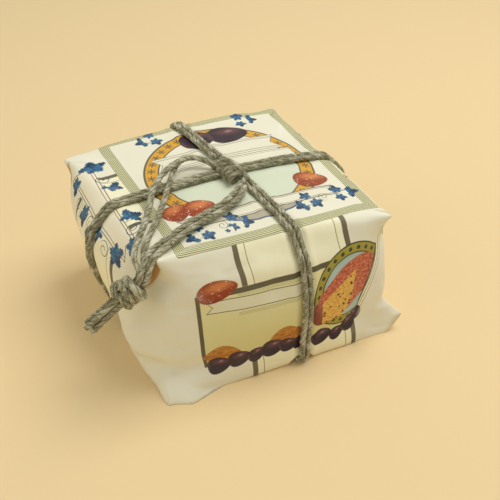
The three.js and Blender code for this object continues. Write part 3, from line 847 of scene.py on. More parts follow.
def strand_route(side, way, starts, beside, climb):
    """A whole strand, down one side and up the opposite one; climb lifts it over the other band."""
    way = np.array(way, float)
    sideways = np.array((-way[1], way[0], 0))
    middle = []
    for along in (18, 9, 0, -9, -18):
        lift = climb * (1 - ramp(8, 21, abs(along)))
        middle.append(np.array((KNOT_X, KNOT_Y, TWINE_FLOOR + lift)) + way * along + sideways * beside)
    route = (half_band(side, way, starts[0], beside) + middle
             + half_band((side + 2) % 4, -way, starts[1], -beside)[::-1])
    return smooth_path(route, STRAND_STEP)


strands = {}
for number, beside in enumerate((-PITCH, PITCH), 1):
    strands[f"side_to_side_{number}"] = strand_route(RIGHT, (1, 0, 0), (0.02, 0.125), beside, CLIMB)
    strands[f"front_to_back_{number}"] = strand_route(FRONT, -BAND_WAY, (0.26, 0.26), beside, 0)

centre_line = np.vstack(list(strands.values()))[::2]
outwards = normals_of(skin)
BLOCK = 4000  # points of the skin at a time
for first in range(0, len(skin), BLOCK):
    block = slice(first, first + BLOCK)
    apart = skin[block, None, :] - centre_line[None]
    squared = (apart ** 2).sum(-1)
    nearest = squared.argmin(1)
    gap = apart[np.arange(len(nearest)), nearest]
    out = outwards[block]
    above = (gap * out).sum(1)
    aside = np.sqrt(np.clip((gap ** 2).sum(1) - above ** 2, 0, None))
    near = np.sqrt(squared.min(1)) < 14
    pressed = -2.5 + 0.12 * np.clip(aside - 2.3, 0, None) ** 2
    move = np.where(near & (aside < 9.5), np.minimum(0, pressed - above), 0)
    swell = np.where(near & (skin_height[block] > 0), 0.9 * bell(aside - 6.5, 3.0), 0)
    skin[block] += out * (move + np.where(move < 0, 0, swell))[:, None]
skin = relaxed(skin, np.where(skin_height <= 0, 0.0, 0.25), 2)
skin[:, 2] = np.maximum(skin[:, 2], 0.0)

# The finished skin as grids that close on themselves, for flaps that lie on it.
skin_normals = normals_of(skin)
side_closed = np.hstack([side_index, side_index[:, :1]])
JUST_UNDER = 1e-6
TURN_S, TURN_T = (-1, 1, 1, -1, -1), (-1, -1, 1, 1, -1)  # the square of the top at turns 0 to 4


def between(grid, i, j):
    """What a grid holds at the place i down it and j across it."""
    i, j = (np.clip(k, 0, last - 1 - JUST_UNDER) for k, last in zip((i, j), grid.shape))
    i0, j0 = np.floor(i).astype(int), np.floor(j).astype(int)
    fi, fj = (i - i0)[..., None], (j - j0)[..., None]
    return ((grid[i0, j0] * (1 - fi) + grid[i0 + 1, j0] * fi) * (1 - fj)
            + (grid[i0, j0 + 1] * (1 - fi) + grid[i0 + 1, j0 + 1] * fi) * fj)


def on_skin(turn, level):
    """Place and normal on the finished skin; level is 0..1 up the side and 1..2 from the edge inwards."""
    turn, level = np.broadcast_arrays(np.asarray(turn, float) % 4, np.asarray(level, float))
    reach = unit(2 - level)
    s, t = (np.interp(turn, range(5), corners) * reach for corners in (TURN_S, TURN_T))
    place, normal = (np.where((level > 1)[..., None],
                              between(held[top_index], (s + 1) / 2 * ACROSS, (t + 1) / 2 * ACROSS),
                              between(held[side_closed], (1 - level) * DOWN, turn * ACROSS))
                     for held in (skin, skin_normals))
    return place, normal / np.linalg.norm(normal, axis=-1)[..., None]


# The printed places of every face corner: in millimetres, (x, y) carried on over the shoulders on top,
# (x, z) on the front, (-x, z) on the back.
TOP_PRINT, PANEL_PRINT, PLAIN, PAINTED_SHADE = range(4)
SHOULDER_PRINT = 7.0  # the print of the top runs this far down over the front and back
END_PRINT, TURNED_PRINT = 16, 11  # and this far down the ends, and the turned corner of the left one
corner_uv = np.empty((len(faces), 4, 2))
face_side = np.full(len(faces), -1)
face_side[len(top_faces):len(top_faces) + len(side_faces)] = np.tile(np.arange(around) // ACROSS, DOWN)
kind = np.full(len(faces), PLAIN)
kind[:len(top_faces)] = TOP_PRINT
corner_uv[:] = flat_place[faces][:, :, :2]
face_drop = drop[faces].mean(1)
for side, axis, sign in ((FRONT, 1, -1), (RIGHT, 0, 1), (BACK, 1, 1), (LEFT, 0, -1)):
    on = face_side == side
    place, fall, edge = flat_place[faces[on]], drop[faces[on]], edge_at[faces[on]]
    sheet = edge[:, :, :2].copy()
    sheet[:, :, axis] += sign * fall
    if side in (FRONT, BACK):
        use_sheet = face_drop[on] < SHOULDER_PRINT
        kind[on] = np.where(use_sheet, TOP_PRINT, PANEL_PRINT)
    else:
        use_sheet = np.ones(on.sum(), bool)
        kind[on] = np.where(face_drop[on] < END_PRINT, TOP_PRINT, PLAIN)
    if side == LEFT:
        turned = (face_drop[on] > TURNED_PRINT) & (share_of[faces[on][:, 0]] < 0.2)
        kind[on] = np.where(turned, PLAIN, kind[on])
    from_edge = edge[:, :, 0] + (place[:, :, 0] - edge[:, :, 0]) * ramp(SHOULDER_PRINT, 30, fall)
    panel = np.stack([from_edge * (1 if side == FRONT else -1), place[:, :, 2]], -1)
    corner_uv[on] = np.where(use_sheet[:, None, None], sheet, panel)
layers = [(skin, faces, corner_uv, kind)]  # of sheet: places, faces, printed places, kinds of face


SHEET_THICK = 0.28


def slab(points, normals, uv, kinds, thickness):
    """A thin closed layer of sheet from a grid of places: its outer face, its inner face and its rims."""
    rows, columns = points.shape[:2]
    outer = np.arange(rows * columns).reshape(rows, columns)
    under = rows * columns
    vertices = np.vstack([points.reshape(-1, 3), (points - normals * thickness).reshape(-1, 3)])
    rim = np.r_[outer[0, :-1], outer[:-1, -1], outer[-1, :0:-1], outer[:0:-1, 0]]
    rim_next = np.roll(rim, -1)
    all_faces = np.vstack([quads(outer), quads(outer + under)[:, ::-1],
                           np.stack([rim, rim_next, rim_next + under, rim + under], -1)])
    a, b, c = vertices[all_faces[0, :3]]
    if np.dot(np.cross(b - a, c - a), normals[0, 0]) < 0:
        all_faces = all_faces[:, ::-1]
    return vertices, all_faces, np.vstack([uv.reshape(-1, 2)] * 2)[all_faces], np.full(len(all_faces), kinds)


def flap(side, near, far, lifts, kinds, seed, down_to=0.055, grow=0.0):
    """A pointed end flap; near and far give its two edges as places across the end against height."""
    rows, columns = 76, 52
    inside = 0.14  # how far it reaches in over the edge of the top
    level = np.linspace(1 + inside, down_to, rows)
    height = unit(level)
    low_y, high_y = (np.interp(height, *zip(*edge)) for edge in (near, far))
    wobble, wobble2 = (1.6 * np.array([noise.noise(Vector((h * 9, salt, 0))) for h in height])
                       for salt in (seed, seed + 5))
    tip = unit((height - down_to) / 0.07)
    half = (high_y - low_y) / 2 * np.maximum(np.sqrt(tip * (2 - tip)), 0.12)
    half = half + grow * ramp(0.3, 0.7, height) * ramp(1.01, 0.95, height)
    first, last = (low_y + high_y) / 2 - half + wobble, (low_y + high_y) / 2 + half + wobble2
    across = np.linspace(0, 1, columns)
    wide = (last - first)[:, None]
    y = first[:, None] + wide * across[None]
    corner_a, corner_b = (side_point(np.full(rows, turn), height)[:, 1:2] for turn in (float(side), side + 0.99999))
    turn = side + np.clip((y - corner_a) / (corner_b - corner_a), 0.004, 0.996)
    levels = np.broadcast_to(level[:, None], y.shape)
    place, normal = on_skin(turn, levels)
    curl = np.exp(-np.minimum(across[None] * wide, (1 - across[None]) * wide) / 4.5) * ramp(1.0, 0.85, height)[:, None]
    if grow:  # an inner flap lies flat where the outer one covers its end
        curl *= ramp(down_to, down_to + 0.15, height)[:, None]
    crumple = np.array([[noise.noise(Vector((yy / 17, h * 7, seed + 9))) for yy in row] for row, h in zip(y, height)])
    under_band = 1 - bell(y - KNOT_Y, 8)
    lift = lifts[0] + (lifts[1] * curl + lifts[2] * np.abs(crumple)) * under_band
    lift = lift * ramp(1 + inside, 1 + 0.3 * inside, levels) - 0.3 * ramp(1 + 0.4 * inside, 1 + inside, levels)
    edge = side_point(turn, 1.0)
    fall = np.linalg.norm(side_point(turn, height[:, None]) - edge, axis=-1)
    on_top = spread_point(turn, unit(2 - levels), True)
    u = np.where(levels > 1, on_top[..., 0], edge[..., 0] + (fall if side == RIGHT else -fall))
    v = np.where(levels > 1, on_top[..., 1], y)
    layers.append(slab(place + normal * lift[..., None], normal, np.stack([u, v], -1), kinds, SHEET_THICK))


LEFT_NEAR = [(0.0, 30), (0.12, 22), (0.45, -22.6), (0.8, -58), (1.0, -73)]
LEFT_FAR = [(0.0, 42), (0.07, 46), (0.45, 57), (0.8, 63), (0.93, 67), (1.0, 80)]
# The inner flap under the left one is painted tan all over, as warm shade under the outer flap.
flap(LEFT, LEFT_NEAR, LEFT_FAR, (0.18, 1.0, 0.0), PAINTED_SHADE, 7.3, down_to=0.30, grow=8.0)
flap(LEFT, LEFT_NEAR, LEFT_FAR, (0.45, 1.5, 0.5), TOP_PRINT, 2.1)
RIGHT_NEAR = [(0.0, -18), (0.1, -26), (0.5, -58), (0.85, -78), (1.0, -84)]
RIGHT_FAR = [(0.0, 22), (0.1, 30), (0.5, 62), (0.85, 80), (1.0, 86)]
flap(RIGHT, RIGHT_NEAR, RIGHT_FAR, (0.45, 1.2, 0.5), TOP_PRINT, 4.7)

# Motifs of the print, stamped one to a patch of the sheet: (u, v, turn in degrees, half length, half
# width, kind). Vine leaves, chestnuts, glazed chestnuts, serrate leaves and tendrils.
LEAF, CHESTNUT, GLAZED, SERRATE, TENDRIL = 1, 2, 3, 4, 5
rng = random.Random(20)
TOP_MOTIFS = [(5.5, 61.5, 10, 17.5, 17.5, CHESTNUT), (31.5, 60.5, -2, 19.5, 18.0, CHESTNUT),
              (-51.5, -25.5, 30, 12.5, 14, GLAZED), (-34, -28.5, 5, 13.5, 15, GLAZED),
              (60.5, -25, -8, 15.5, 15, GLAZED)]
for u, v, turn in ((-30, 79, 190), (54, 78, -10), (-47, -56, 200), (-17, -53, -20), (43, -51, 200), (74, -49, -10)):
    cos, sin = math.cos(math.radians(turn)), math.sin(math.radians(turn))
    for along, across, size, tilt in ((5.0, 0.5, 9.0, 0), (-3.5, 4.6, 7.4, 95), (-3.0, -5.0, 6.6, -85)):
        TOP_MOTIFS.append((u + along * cos - across * sin, v + along * sin + across * cos, turn + tilt,
                           size, size, LEAF))
TOP_MOTIFS += [(-28, -53, 20, 5, 5, TENDRIL), (-27, -60, 80, 3, 3, LEAF), (57, -50, 190, 5, 5, TENDRIL)]
for u, v, size, wide, turn in (
        (-84, 60, 12, 15, 95), (-81, 29, 10, 12, 40), (-83, -16, 11, 12, 20), (-110, 28, 11, 11, 200),
        (-110, 0, 10, 10, 210), (-108, -28, 11.5, 11.5, 240), (-94, -41, 10, 10, -20), (-103, 56, 10, 9, 180),
        (-118, 12, 8, 8, 170)):
    TOP_MOTIFS.append((u, v, turn, size, wide, LEAF))
for u, v in ((-84, 42), (-84, 6), (-110, 44), (-114, -14), (-110, 14), (-86, -29)):
    TOP_MOTIFS.append((u, v, rng.uniform(0, 360), 7, 7, TENDRIL))
for u, v, size in ((106, 60, 9), (103, 26, 8), (105, -14, 9), (122, 40, 8.5), (124, 0, 8), (121, -32, 9),
                   (110, 44, 6), (112, 4, 6)):
    TOP_MOTIFS.append((u, v, rng.uniform(0, 360), size, size, LEAF))
PANEL_MOTIFS = [(-46.5, 28.5, -4, 16.5, 9.5, SERRATE), (-48.2, 84.6, 8, 17.0, 10.8, GLAZED),
                (3, 31.5, 16, 15.5, 11, SERRATE)]
for u, v, half, turn in ((-49.8, 20.1, 11.0, 0), (-33.7, 22.4, 10.6, 12), (-19.8, 22.4, 9.0, 20), (-6.7, 24, 11.2, 5),
                         (5.7, 23.6, 9.2, 20), (16.5, 22.8, 9.6, 0), (34.1, 20.4, 10.6, 10), (48.3, 18.4, 8.4, 25),
                         (59.6, 23, 9.2, 45), (65.5, 29.5, 7.6, 70)):
    PANEL_MOTIFS.append((u, v, turn, half * 0.96, half * 0.9, CHESTNUT))

offsets = np.r_[0, np.cumsum([len(layer[0]) for layer in layers])]
all_vertices = np.vstack([layer[0] for layer in layers]) / 1000
all_faces = np.vstack([layer[1] + offset for layer, offset in zip(layers, offsets)])
all_uv = np.vstack([layer[2] for layer in layers])
all_kind = np.concatenate([layer[3] for layer in layers])
NO_STAMP, STAMP_MARGIN = 9.0, 1.6
STAMP_LAYERS = ("stamp back", "stamp under", "stamp over")
stamps = [np.full(all_uv.shape, NO_STAMP) for _ in STAMP_LAYERS]
middle_uv = all_uv.mean(1)
for kind_wanted, motifs in ((TOP_PRINT, TOP_MOTIFS), (PANEL_PRINT, PANEL_MOTIFS)):
    for number, (u, v, turn, half, wide, motif) in enumerate(motifs):
        cos, sin = math.cos(math.radians(turn)), math.sin(math.radians(turn))
        local = lambda uv: np.stack([((uv[..., 0] - u) * cos + (uv[..., 1] - v) * sin) / half,
                                     ((uv[..., 1] - v) * cos - (uv[..., 0] - u) * sin) / wide], -1)
        here = (np.abs(local(middle_uv)) < 1 + STAMP_MARGIN / np.array((half, wide))).all(1) & (all_kind == kind_wanted)
        layer = 0 if motif == SERRATE else 1 + number % 2
        stamps[layer][here] = local(all_uv[here]) + (10.0 * motif, 0)

wrap_mesh = bpy.data.meshes.new("wrapping_paper")
wrap_mesh.from_pydata(all_vertices.tolist(), [], all_faces.tolist())
for layer_name, values in zip(("sheet",) + STAMP_LAYERS, [all_uv / 100] + stamps):
    layer = wrap_mesh.uv_layers.new(name=layer_name)
    layer.data.foreach_set("uv", values.reshape(-1).astype(np.float32))
wrap_mesh.polygons.foreach_set("material_index", all_kind.astype(np.int32))
fold = wrap_mesh.attributes.new("fold", "FLOAT", "POINT")
crease_height = np.zeros(len(all_vertices), np.float32)
crease_height[:len(skin)] = crease_relief
fold.data.foreach_set("value", crease_height)
wrap_mesh.update()
wrap_mesh.shade_smooth()
wrapping = bpy.data.objects.new("wrapping_paper", wrap_mesh)
bpy.context.scene.collection.objects.link(wrapping)


def new_group(name, inputs, outputs):
    """A new shader group, drawn in from here on; inputs are (name, kind, value) and outputs (name, kind)."""
    global tree
    tree = bpy.data.node_groups.new(name, "ShaderNodeTree")
    for label, kind, value in inputs:
        socket = tree.interface.new_socket(name=label, in_out="INPUT", socket_type="NodeSocket" + kind)
        if value is not None:
            socket.default_value = value
    for label, kind in outputs:
        tree.interface.new_socket(name=label, in_out="OUTPUT", socket_type="NodeSocket" + kind)
    return tree, Shade(tree.nodes.new("NodeGroupInput").outputs[0]), tree.nodes.new("NodeGroupOutput")


# Handled paper: faint blotches and fibres, a painted highlight on the ridges of creases and painted shade in their
# valleys, and a fine crumple.
handled, given, results = new_group(
    "handled paper", [("Ink", "Color", (0.9, 0.9, 0.9, 1)), ("Blotch", "Float", 0.05), ("Crumple", "Float", 0.3)],
    [("Color", "Color"), ("Roughness", "Float"), ("Normal", "Vector")])
place = add("TexCoord")["Object"]
blotch = clouds(place, 26.0, 4.0, 0.6)
fibre = clouds(place, 1500.0, 2.0)
crumple = clouds(place, 75.0, 3.0, distortion=0.6)
crease_height = add("Attribute", attribute_name="fold")["Fac"]
color = blend(step_down(blotch, 0.35, 0.7) * given["Blotch"], given["Ink"], srgb(205, 190, 150))
# painted shade in the valleys of creases, then a painted highlight on their ridges
color = blend(step_up(crease_height, -0.15, -1.0, 0.0, 0.16), color, srgb(150, 132, 95))
color = blend(step_up(crease_height, 0.2, 1.2, 0.0, 0.35), color, srgb(250, 247, 238))
set_inputs(results, {"Color": color, "Roughness": step_up(blotch, 0.3, 0.7, 0.50, 0.62),
                     "Normal": bump(fibre * 0.05 + crumple * given["Crumple"], 0.5, 0.002)})

# One printed motif in its own square, its centre at 0 and its ends at -1 and 1. The stamp's first number is
# ten times the motif's kind plus the place across it, and its second is the place along it.
motif, given, results = new_group("printed motif", [("Stamp", "Vector", None)], [("Color", "Color"), ("Mask", "Float")])
stamp = add("SeparateXYZ", {0: given["Stamp"]})
number = calc("ROUND", stamp[0] / 10.0)
x, y = stamp[0] - number * 10.0, stamp[1]
radius = distance(x, y)
angle = calc("ARCTAN2", y, x)
local = add("CombineXYZ", {0: x, 1: y, 2: number})
grain = clouds(local, 3.5, 4.0, 0.65)
ROUND = 2 * math.pi


def is_kind(value):
    return calc("COMPARE", number, float(value), 0.3)


# vine leaf: five lobes with toothed edges, darker veins and a pale side
swaying = angle + (grain - 0.5) * 0.8
lobes = calc("PINGPONG", swaying * (5 / ROUND) + 10.5, 0.5) * 2.0
teeth = calc("PINGPONG", swaying * (25 / ROUND) + 30.0, 0.5) * 0.26
leaf_edge = (lobes ** 1.15 * 0.38 + 0.50 + teeth) * (0.84 + calc("COSINE", angle) * 0.16)
inside_leaf = leaf_edge - radius
leaf_mask = step_up(inside_leaf, -0.03, 0.05)
vein = step_down(abs(calc("SINE", angle * 2.5)) * radius, 0.0, 0.11)
leaf_color = blend(step_up(grain, 0.40, 0.62), srgb(26, 68, 106), srgb(72, 132, 170))
leaf_color = blend(step_up(x, 0.0, 0.7, 0.0, 0.65), leaf_color, srgb(24, 44, 78))
leaf_color = blend(vein * 0.75, leaf_color, srgb(24, 44, 80))
leaf_color = blend(step_up(inside_leaf, 0.10, 0.02, 0.0, 0.5), leaf_color, srgb(28, 58, 98))

# chestnuts: a plump drop with a point, a shine along one side and a paler foot
drop_r = distance(x, y / (0.80 + x * -0.22))
nut_mask = step_down(drop_r, 0.86, 0.93)
shine_x, shine_y = x - 0.15, y - 0.28
shine = calc("SQRT", shine_x * shine_x * 0.8 + shine_y * shine_y * 3.2)
streaks = clouds(add("Mapping", {"Vector": local, "Scale": (1.6, 7.0, 1.0)}), 2.2, 3.0)
nut_color = blend(step_down(shine, 0.0, 0.75), srgb(52, 34, 50), srgb(122, 74, 84))
nut_color = blend(step_up(streaks, 0.45, 0.7, 0.0, 0.55), nut_color, srgb(48, 30, 42))
nut_color = blend(step_up(shine, 0.0, 0.22, 0.6, 0.0), nut_color, srgb(206, 164, 160))
nut_color = blend(step_up(x, -0.62, -0.85, 0.0, 0.3), nut_color, srgb(150, 112, 104))
nut_color = blend(step_up(drop_r, 0.76, 0.90, 0.0, 0.55), nut_color, srgb(36, 24, 38))
glazed_color = blend(step_down(shine, 0.0, 0.9), srgb(156, 62, 26), srgb(230, 144, 84))
glazed_color = blend(step_up(streaks, 0.5, 0.68, 0.0, 0.5), glazed_color, srgb(172, 78, 36))
glint = add("TexVoronoi", {"Vector": local, "Scale": 8.0})
glazed_color = blend(step_up(glint, 0.36, 0.14) * step_up(grain, 0.49, 0.56), glazed_color, srgb(252, 242, 226))
glazed_color = blend(step_up(y, -0.35, -0.85, 0.0, 0.55), glazed_color, srgb(112, 54, 28))
glazed_color = blend(step_up(drop_r, 0.72, 0.92, 0.0, 0.45), glazed_color, srgb(140, 66, 34))

# serrate leaf: long, toothed, with a midrib and slanting veins
saw = calc("PINGPONG", (x + 2.0) * 9.0, 0.5) * 0.16
long_mask = step_down(x * x + abs(y) * 0.95 + saw, 0.92, 0.97)
rib_wave = calc("PINGPONG", (x - abs(y) * 0.5) * 5.0, 0.5)
ribs = calc("MAXIMUM", step_up(rib_wave, 0.0, 0.10, 0.6, 0.0), step_up(abs(y), 0.0, 0.06, 0.9, 0.0))
long_color = blend(step_up(grain, 0.35, 0.65), srgb(176, 104, 34), srgb(206, 146, 58))
long_color = blend(ribs * 0.7, long_color, srgb(132, 70, 22))

# tendril: a thin line that winds in on itself
wind = calc("FRACT", radius * 1.9 - angle / ROUND)
tendril_mask = step_down(abs(wind - 0.5), 0.05, 0.11) * (step_down(radius, 0.85, 0.95) * step_up(radius, 0.15, 0.22))

mask = (is_kind(LEAF) * leaf_mask + (is_kind(CHESTNUT) + is_kind(GLAZED)) * nut_mask
        + is_kind(SERRATE) * long_mask + is_kind(TENDRIL) * tendril_mask)
color = leaf_color
for kind, tint in ((CHESTNUT, nut_color), (GLAZED, glazed_color), (SERRATE, long_color),
                   (TENDRIL, srgb(60, 78, 84))):
    color = blend(is_kind(kind), color, tint)
set_inputs(results, {"Color": color, "Mask": mask})

PAPER_WHITE = srgb(241, 238, 215)
OLIVE = srgb(112, 104, 80)
CREAM = srgb(251, 247, 212)
PALE = srgb(240, 237, 214)
# warm tan, painted where the sheet lies in deep shade
SHADE_TAN = srgb(200, 150, 88)
COLUMN_LINE = srgb(150, 130, 90)


def printed(name):
    """A paper material, and the sheet's own coordinates in millimetres."""
    material = new_material(name, PAPER_WHITE)
    sheet = add("SeparateXYZ", {0: add("UVMap", uv_map="sheet")})
    return material, sheet[0] * 100.0, sheet[1] * 100.0


def inside_span(value, low, high, soft=0.25):
    """1 between low and high, with softly printed edges."""
    half = (high - low) / 2
    return step_down(abs(value - (low + high) / 2), half - soft, half + soft)


def finish_paper(color, with_motifs, crumple):
    """Stamps the motifs over the print, and gives the shader the handled paper."""
    if with_motifs:
        for layer_name in STAMP_LAYERS:
            drawn = add("Group", {"Stamp": add("UVMap", uv_map=layer_name)}, node_tree=motif)
            color = blend(drawn["Mask"], color, drawn["Color"])
    surface = add("Group", {"Ink": color, "Crumple": crumple}, node_tree=handled)
    set_inputs(shader, {"Base Color": surface["Color"], "Roughness": surface["Roughness"],
                        "Normal": surface["Normal"], "Specular IOR Level": 0.35})


# The top: a frame of fine green lines, a round medallion with bare banners, and the columns that run
# off over all four sides.
top_print, u, v = printed("top_print")
FRAME_X, FRAME_Y, FRAME_HALF, FRAME_LONGER, FRAME_WIDE = 9.4, 8.0, 80.4, 2.0, 8.0
COLUMN_X, COLUMN_HALF, END_COLUMN_Y, END_COLUMN_HALF = 13.4, 42.9, 8.2, 35.2
off_u = abs(u - FRAME_X)
off_v = abs(v - FRAME_Y) - FRAME_LONGER
color = PAPER_WHITE
# side columns: cream, between olive bars, with a thin inner line
beyond = step_up(calc("MAXIMUM", off_u, off_v), FRAME_HALF - 1, FRAME_HALF - 0.6)
sideways = step_up(off_u - off_v, 0.0, 0.1)
to_bar = (abs(u - COLUMN_X) - COLUMN_HALF) * (1.0 - sideways) + (abs(v - END_COLUMN_Y) - END_COLUMN_HALF) * sideways
color = blend(beyond * step_down(to_bar, -0.2, 0.2), color, CREAM)
color = blend(beyond * inside_span(to_bar, -7.6, -7.0, 0.2), color, COLUMN_LINE)
color = blend(beyond * inside_span(to_bar, -2.0, 2.0), color, OLIVE)
# the banner that crosses each end column, with its swallow tails
banner_mid = off_u - 105.5 - (v - 12.0) * -0.03
from_mid = abs(banner_mid)
banner_end = abs(v - 12.0) + (5.0 - from_mid * 0.55)
banner = sideways * inside_span(banner_mid, -9.5, 10.5) * step_down(banner_end, 52.0, 52.6)
color = blend(banner, color, srgb(250, 243, 216))
rule = calc("MAXIMUM", inside_span(from_mid, 8.7, 9.4, 0.15), inside_span(from_mid, 6.4, 6.9, 0.15))
rule = calc("MAXIMUM", rule, inside_span(banner_end, 51.6, 52.4, 0.15))
rule = rule * sideways * step_down(from_mid, 9.2, 9.4) * step_down(banner_end, 52.4, 52.8)
color = blend(rule, color, srgb(104, 82, 54))
# the frame of fine lines
into = FRAME_HALF - calc("MAXIMUM", off_u, off_v)
on_frame = inside_span(into, 0.0, FRAME_WIDE, 0.1)
color = blend(on_frame, color, srgb(234, 230, 188))
lines = calc("PINGPONG", into - 0.3, 0.62)
color = blend(on_frame * step_down(lines, 0.24, 0.40), color, srgb(130, 130, 80))
# the medallion: ochre ring with little stars between outlines, a pale green middle
RING_MIDDLE, STARS = 60.4, 38
mu, mv = u - 8.7, v - 9.5
ring_r = distance(mu, mv)
green_middle = step_down(ring_r, 54.0, 54.4) * step_up(v, 20.0, 2.0) * step_up(v, -52.0, -30.0, 0.5, 1.0)
color = blend(green_middle, color, srgb(222, 229, 204))
at_tab = step_up(mv, -53.0, -53.4) * step_up(ring_r, 52.0, 52.4)
ring_color = blend(at_tab, srgb(226, 170, 52), srgb(186, 178, 154))
color = blend(inside_span(ring_r, 55.2, 65.6), color, ring_color)
star_x = (calc("FRACT", calc("ARCTAN2", mv, mu) * (STARS / ROUND)) - 0.5) * (ROUND * RING_MIDDLE / STARS)
star_y = ring_r - RING_MIDDLE
ray = abs(calc("COSINE", calc("ARCTAN2", star_y, star_x) * 3.0))
star = step_down(distance(star_x, star_y) - ray ** 2.5 * 3.4, 0.2, 0.7) * (1.0 - at_tab)
color = blend(star * 0.95, color, srgb(66, 74, 76))
outline = calc("MAXIMUM", inside_span(ring_r, 64.9, 66.5), inside_span(ring_r, 54.2, 55.4))
color = blend(outline, color, blend(at_tab, srgb(104, 98, 78), srgb(84, 108, 134)))
color = blend(step_down(ring_r, 54.0, 54.3) * step_up(v, -42.0, -42.5), color, srgb(58, 72, 96))


def bare_banner(color, low, high, first, last, notch, lines_in):
    """A blank banner across the medallion, with ruled edges and cut tails."""
    half, limit = (high - low) / 2, (last - first) / 2
    away = abs(v - (low + high) / 2)
    reach = abs(u - (first + last) / 2) + (half - away) * (notch / half)
    body = step_down(away, half - 0.2, half + 0.2) * step_down(reach, limit - 0.2, limit + 0.2)
    color = blend(body, color, PALE)
    for inset, thick in lines_in:
        edge = inside_span(away, half - inset - thick, half - inset, 0.12)
        if inset == 0:  # the outer rule goes round the ends too
            edge = calc("MAXIMUM", edge, inside_span(reach, limit - thick, limit, 0.12))
        color = blend(edge * body, color, srgb(120, 106, 78))
    return color


color = bare_banner(color, 8.6, 25.4, -46, 69.5, 0.0, ((0, 0.7), (2.2, 0.35)))
color = bare_banner(color, 27.2, 48.2, -42, 66, 6.5, ((0, 0.6), (2.4, 0.35), (3.3, 0.35)))
color = bare_banner(color, -49.2, -36.6, -57, 72, 5.0, ((0, 1.1), (2.0, 0.5)))
finish_paper(color, True, 0.22)

# The front and back panels: the column between its bars, a bordered panel with a bare banner, and a
# round plate with a cut loaf.
panel_print, u, v = printed("panel_print")
to_bar = abs(u - calc("MAXIMUM", 102.0 - v, 0.0) * 0.09 - COLUMN_X) - COLUMN_HALF
color = blend(step_down(to_bar, -0.2, 0.2), PAPER_WHITE, CREAM)
color = blend(inside_span(to_bar, -7.6, -7.0, 0.2), color, COLUMN_LINE)
color = blend(inside_span(to_bar, -2.1, 2.1), color, OLIVE)
# bordered panel
from_left = u - (-64.6 + (86.0 - v) * 0.045)
from_right = 62.5 + (v - 22.0) * 0.33 - u
from_upper = 84.6 + u * 0.018 - v
from_lower = v - 19.5
inward = calc("MINIMUM", calc("MINIMUM", from_left, from_right), calc("MINIMUM", from_upper, from_lower))
panel = step_up(inward, -0.2, 0.2)
color = blend(panel, color, blend(step_up(v, 20.0, 84.0), srgb(222, 214, 150), srgb(236, 231, 176)))
hatched = calc("MAXIMUM", inside_span(v, 77.2, 80.6, 0.1), inside_span(v, 62.6, 65.6, 0.1))
hatch = step_down(calc("PINGPONG", v, 0.55), 0.12, 0.30) * hatched * inside_span(u, -34.0, 22.0, 0.3)
color = blend(hatch * 0.7, color, srgb(150, 146, 104))
banner_v = v - (71.4 + u * -0.02)
banner_u = u + abs(banner_v) * 0.9
banner_body = inside_span(banner_v, -5.2, 5.2, 0.15) * step_up(banner_u, -53.0, -52.6) * step_down(u, 25.6, 26.0)
color = blend(banner_body, color, srgb(234, 231, 200))
banner_rule = calc("MAXIMUM", inside_span(abs(banner_v), 4.5, 5.1, 0.15), inside_span(banner_u, -53.0, -52.2, 0.2))
color = blend(banner_rule * banner_body, color, srgb(92, 84, 66))
# plate with a cut loaf
DOT_RING, DOTS = 29.4, 26
pu = u - 58.5
pv = v - 59.0 - pu * 0.13
plate_r = distance(pu, pv)
on_panel = step_up(from_right, 0.0, 0.3)
on_plate = step_down(plate_r, 33.4, 33.7) * on_panel
color = blend(on_plate, color, srgb(70, 74, 52))
color = blend(inside_span(plate_r, 26.4, 32.5) * on_panel, color, srgb(170, 158, 62))
dot_x = (calc("FRACT", calc("ARCTAN2", pv, pu) * (DOTS / ROUND)) - 0.5) * (ROUND * DOT_RING / DOTS)
dot = step_down(distance(dot_x, plate_r - DOT_RING), 1.3, 1.9)
color = blend(dot * on_panel, color, srgb(66, 74, 52))
color = blend(step_down(plate_r, 25.2, 25.6) * on_panel, color, srgb(176, 200, 192))
color = blend(inside_span(plate_r, 21.6, 22.2, 0.2) * on_panel, color, srgb(206, 220, 212))


def beyond_line(first, last, soft=0.35):
    """1 on the left of the line from first to last."""
    du, dv = last[0] - first[0], last[1] - first[1]
    length = math.hypot(du, dv)
    away = u * (-dv / length) + v * (du / length) - (first[1] * du - first[0] * dv) / length
    return step_up(away, -soft, soft)


LOAF_TILT = 0.66
lu, lv = u - 53.0, v - 56.5
turned_u = lu * math.cos(LOAF_TILT) + lv * math.sin(LOAF_TILT)
turned_v = lv * math.cos(LOAF_TILT) - lu * math.sin(LOAF_TILT)
loaf_r = abs(turned_u / 34.0) ** 2.4 + abs(turned_v / 16.5) ** 2.4
flat = add("CombineXYZ", {0: u, 1: v})
crumb = clouds(flat, 0.45, 4.0, 0.7)
crust_tone = blend(step_up(crumb, 0.38, 0.62), srgb(170, 72, 52), srgb(226, 134, 98))
crust_tone = blend(step_up(turned_u, -14.0, -28.0, 0.0, 0.7), crust_tone, srgb(96, 46, 44))
color = blend(step_down(loaf_r, 0.97, 1.03) * on_panel, color, crust_tone)
SLICE = [(34.5, 31.0), (52.0, 33.0), (59.5, 45.0), (64.0, 71.5), (33.0, 52.0)]
slice_mask = on_panel
for first, last in zip(SLICE, SLICE[1:] + SLICE[:1]):
    slice_mask = slice_mask * beyond_line(first, last)
slice_tone = blend(step_up(crumb, 0.40, 0.60), srgb(222, 160, 62), srgb(240, 200, 104))
fruit = add("TexVoronoi", {"Vector": flat, "Scale": 0.235})
slice_tone = blend(step_up(fruit, 0.30, 0.22), slice_tone, srgb(96, 44, 34))
color = blend(slice_mask, color, slice_tone)
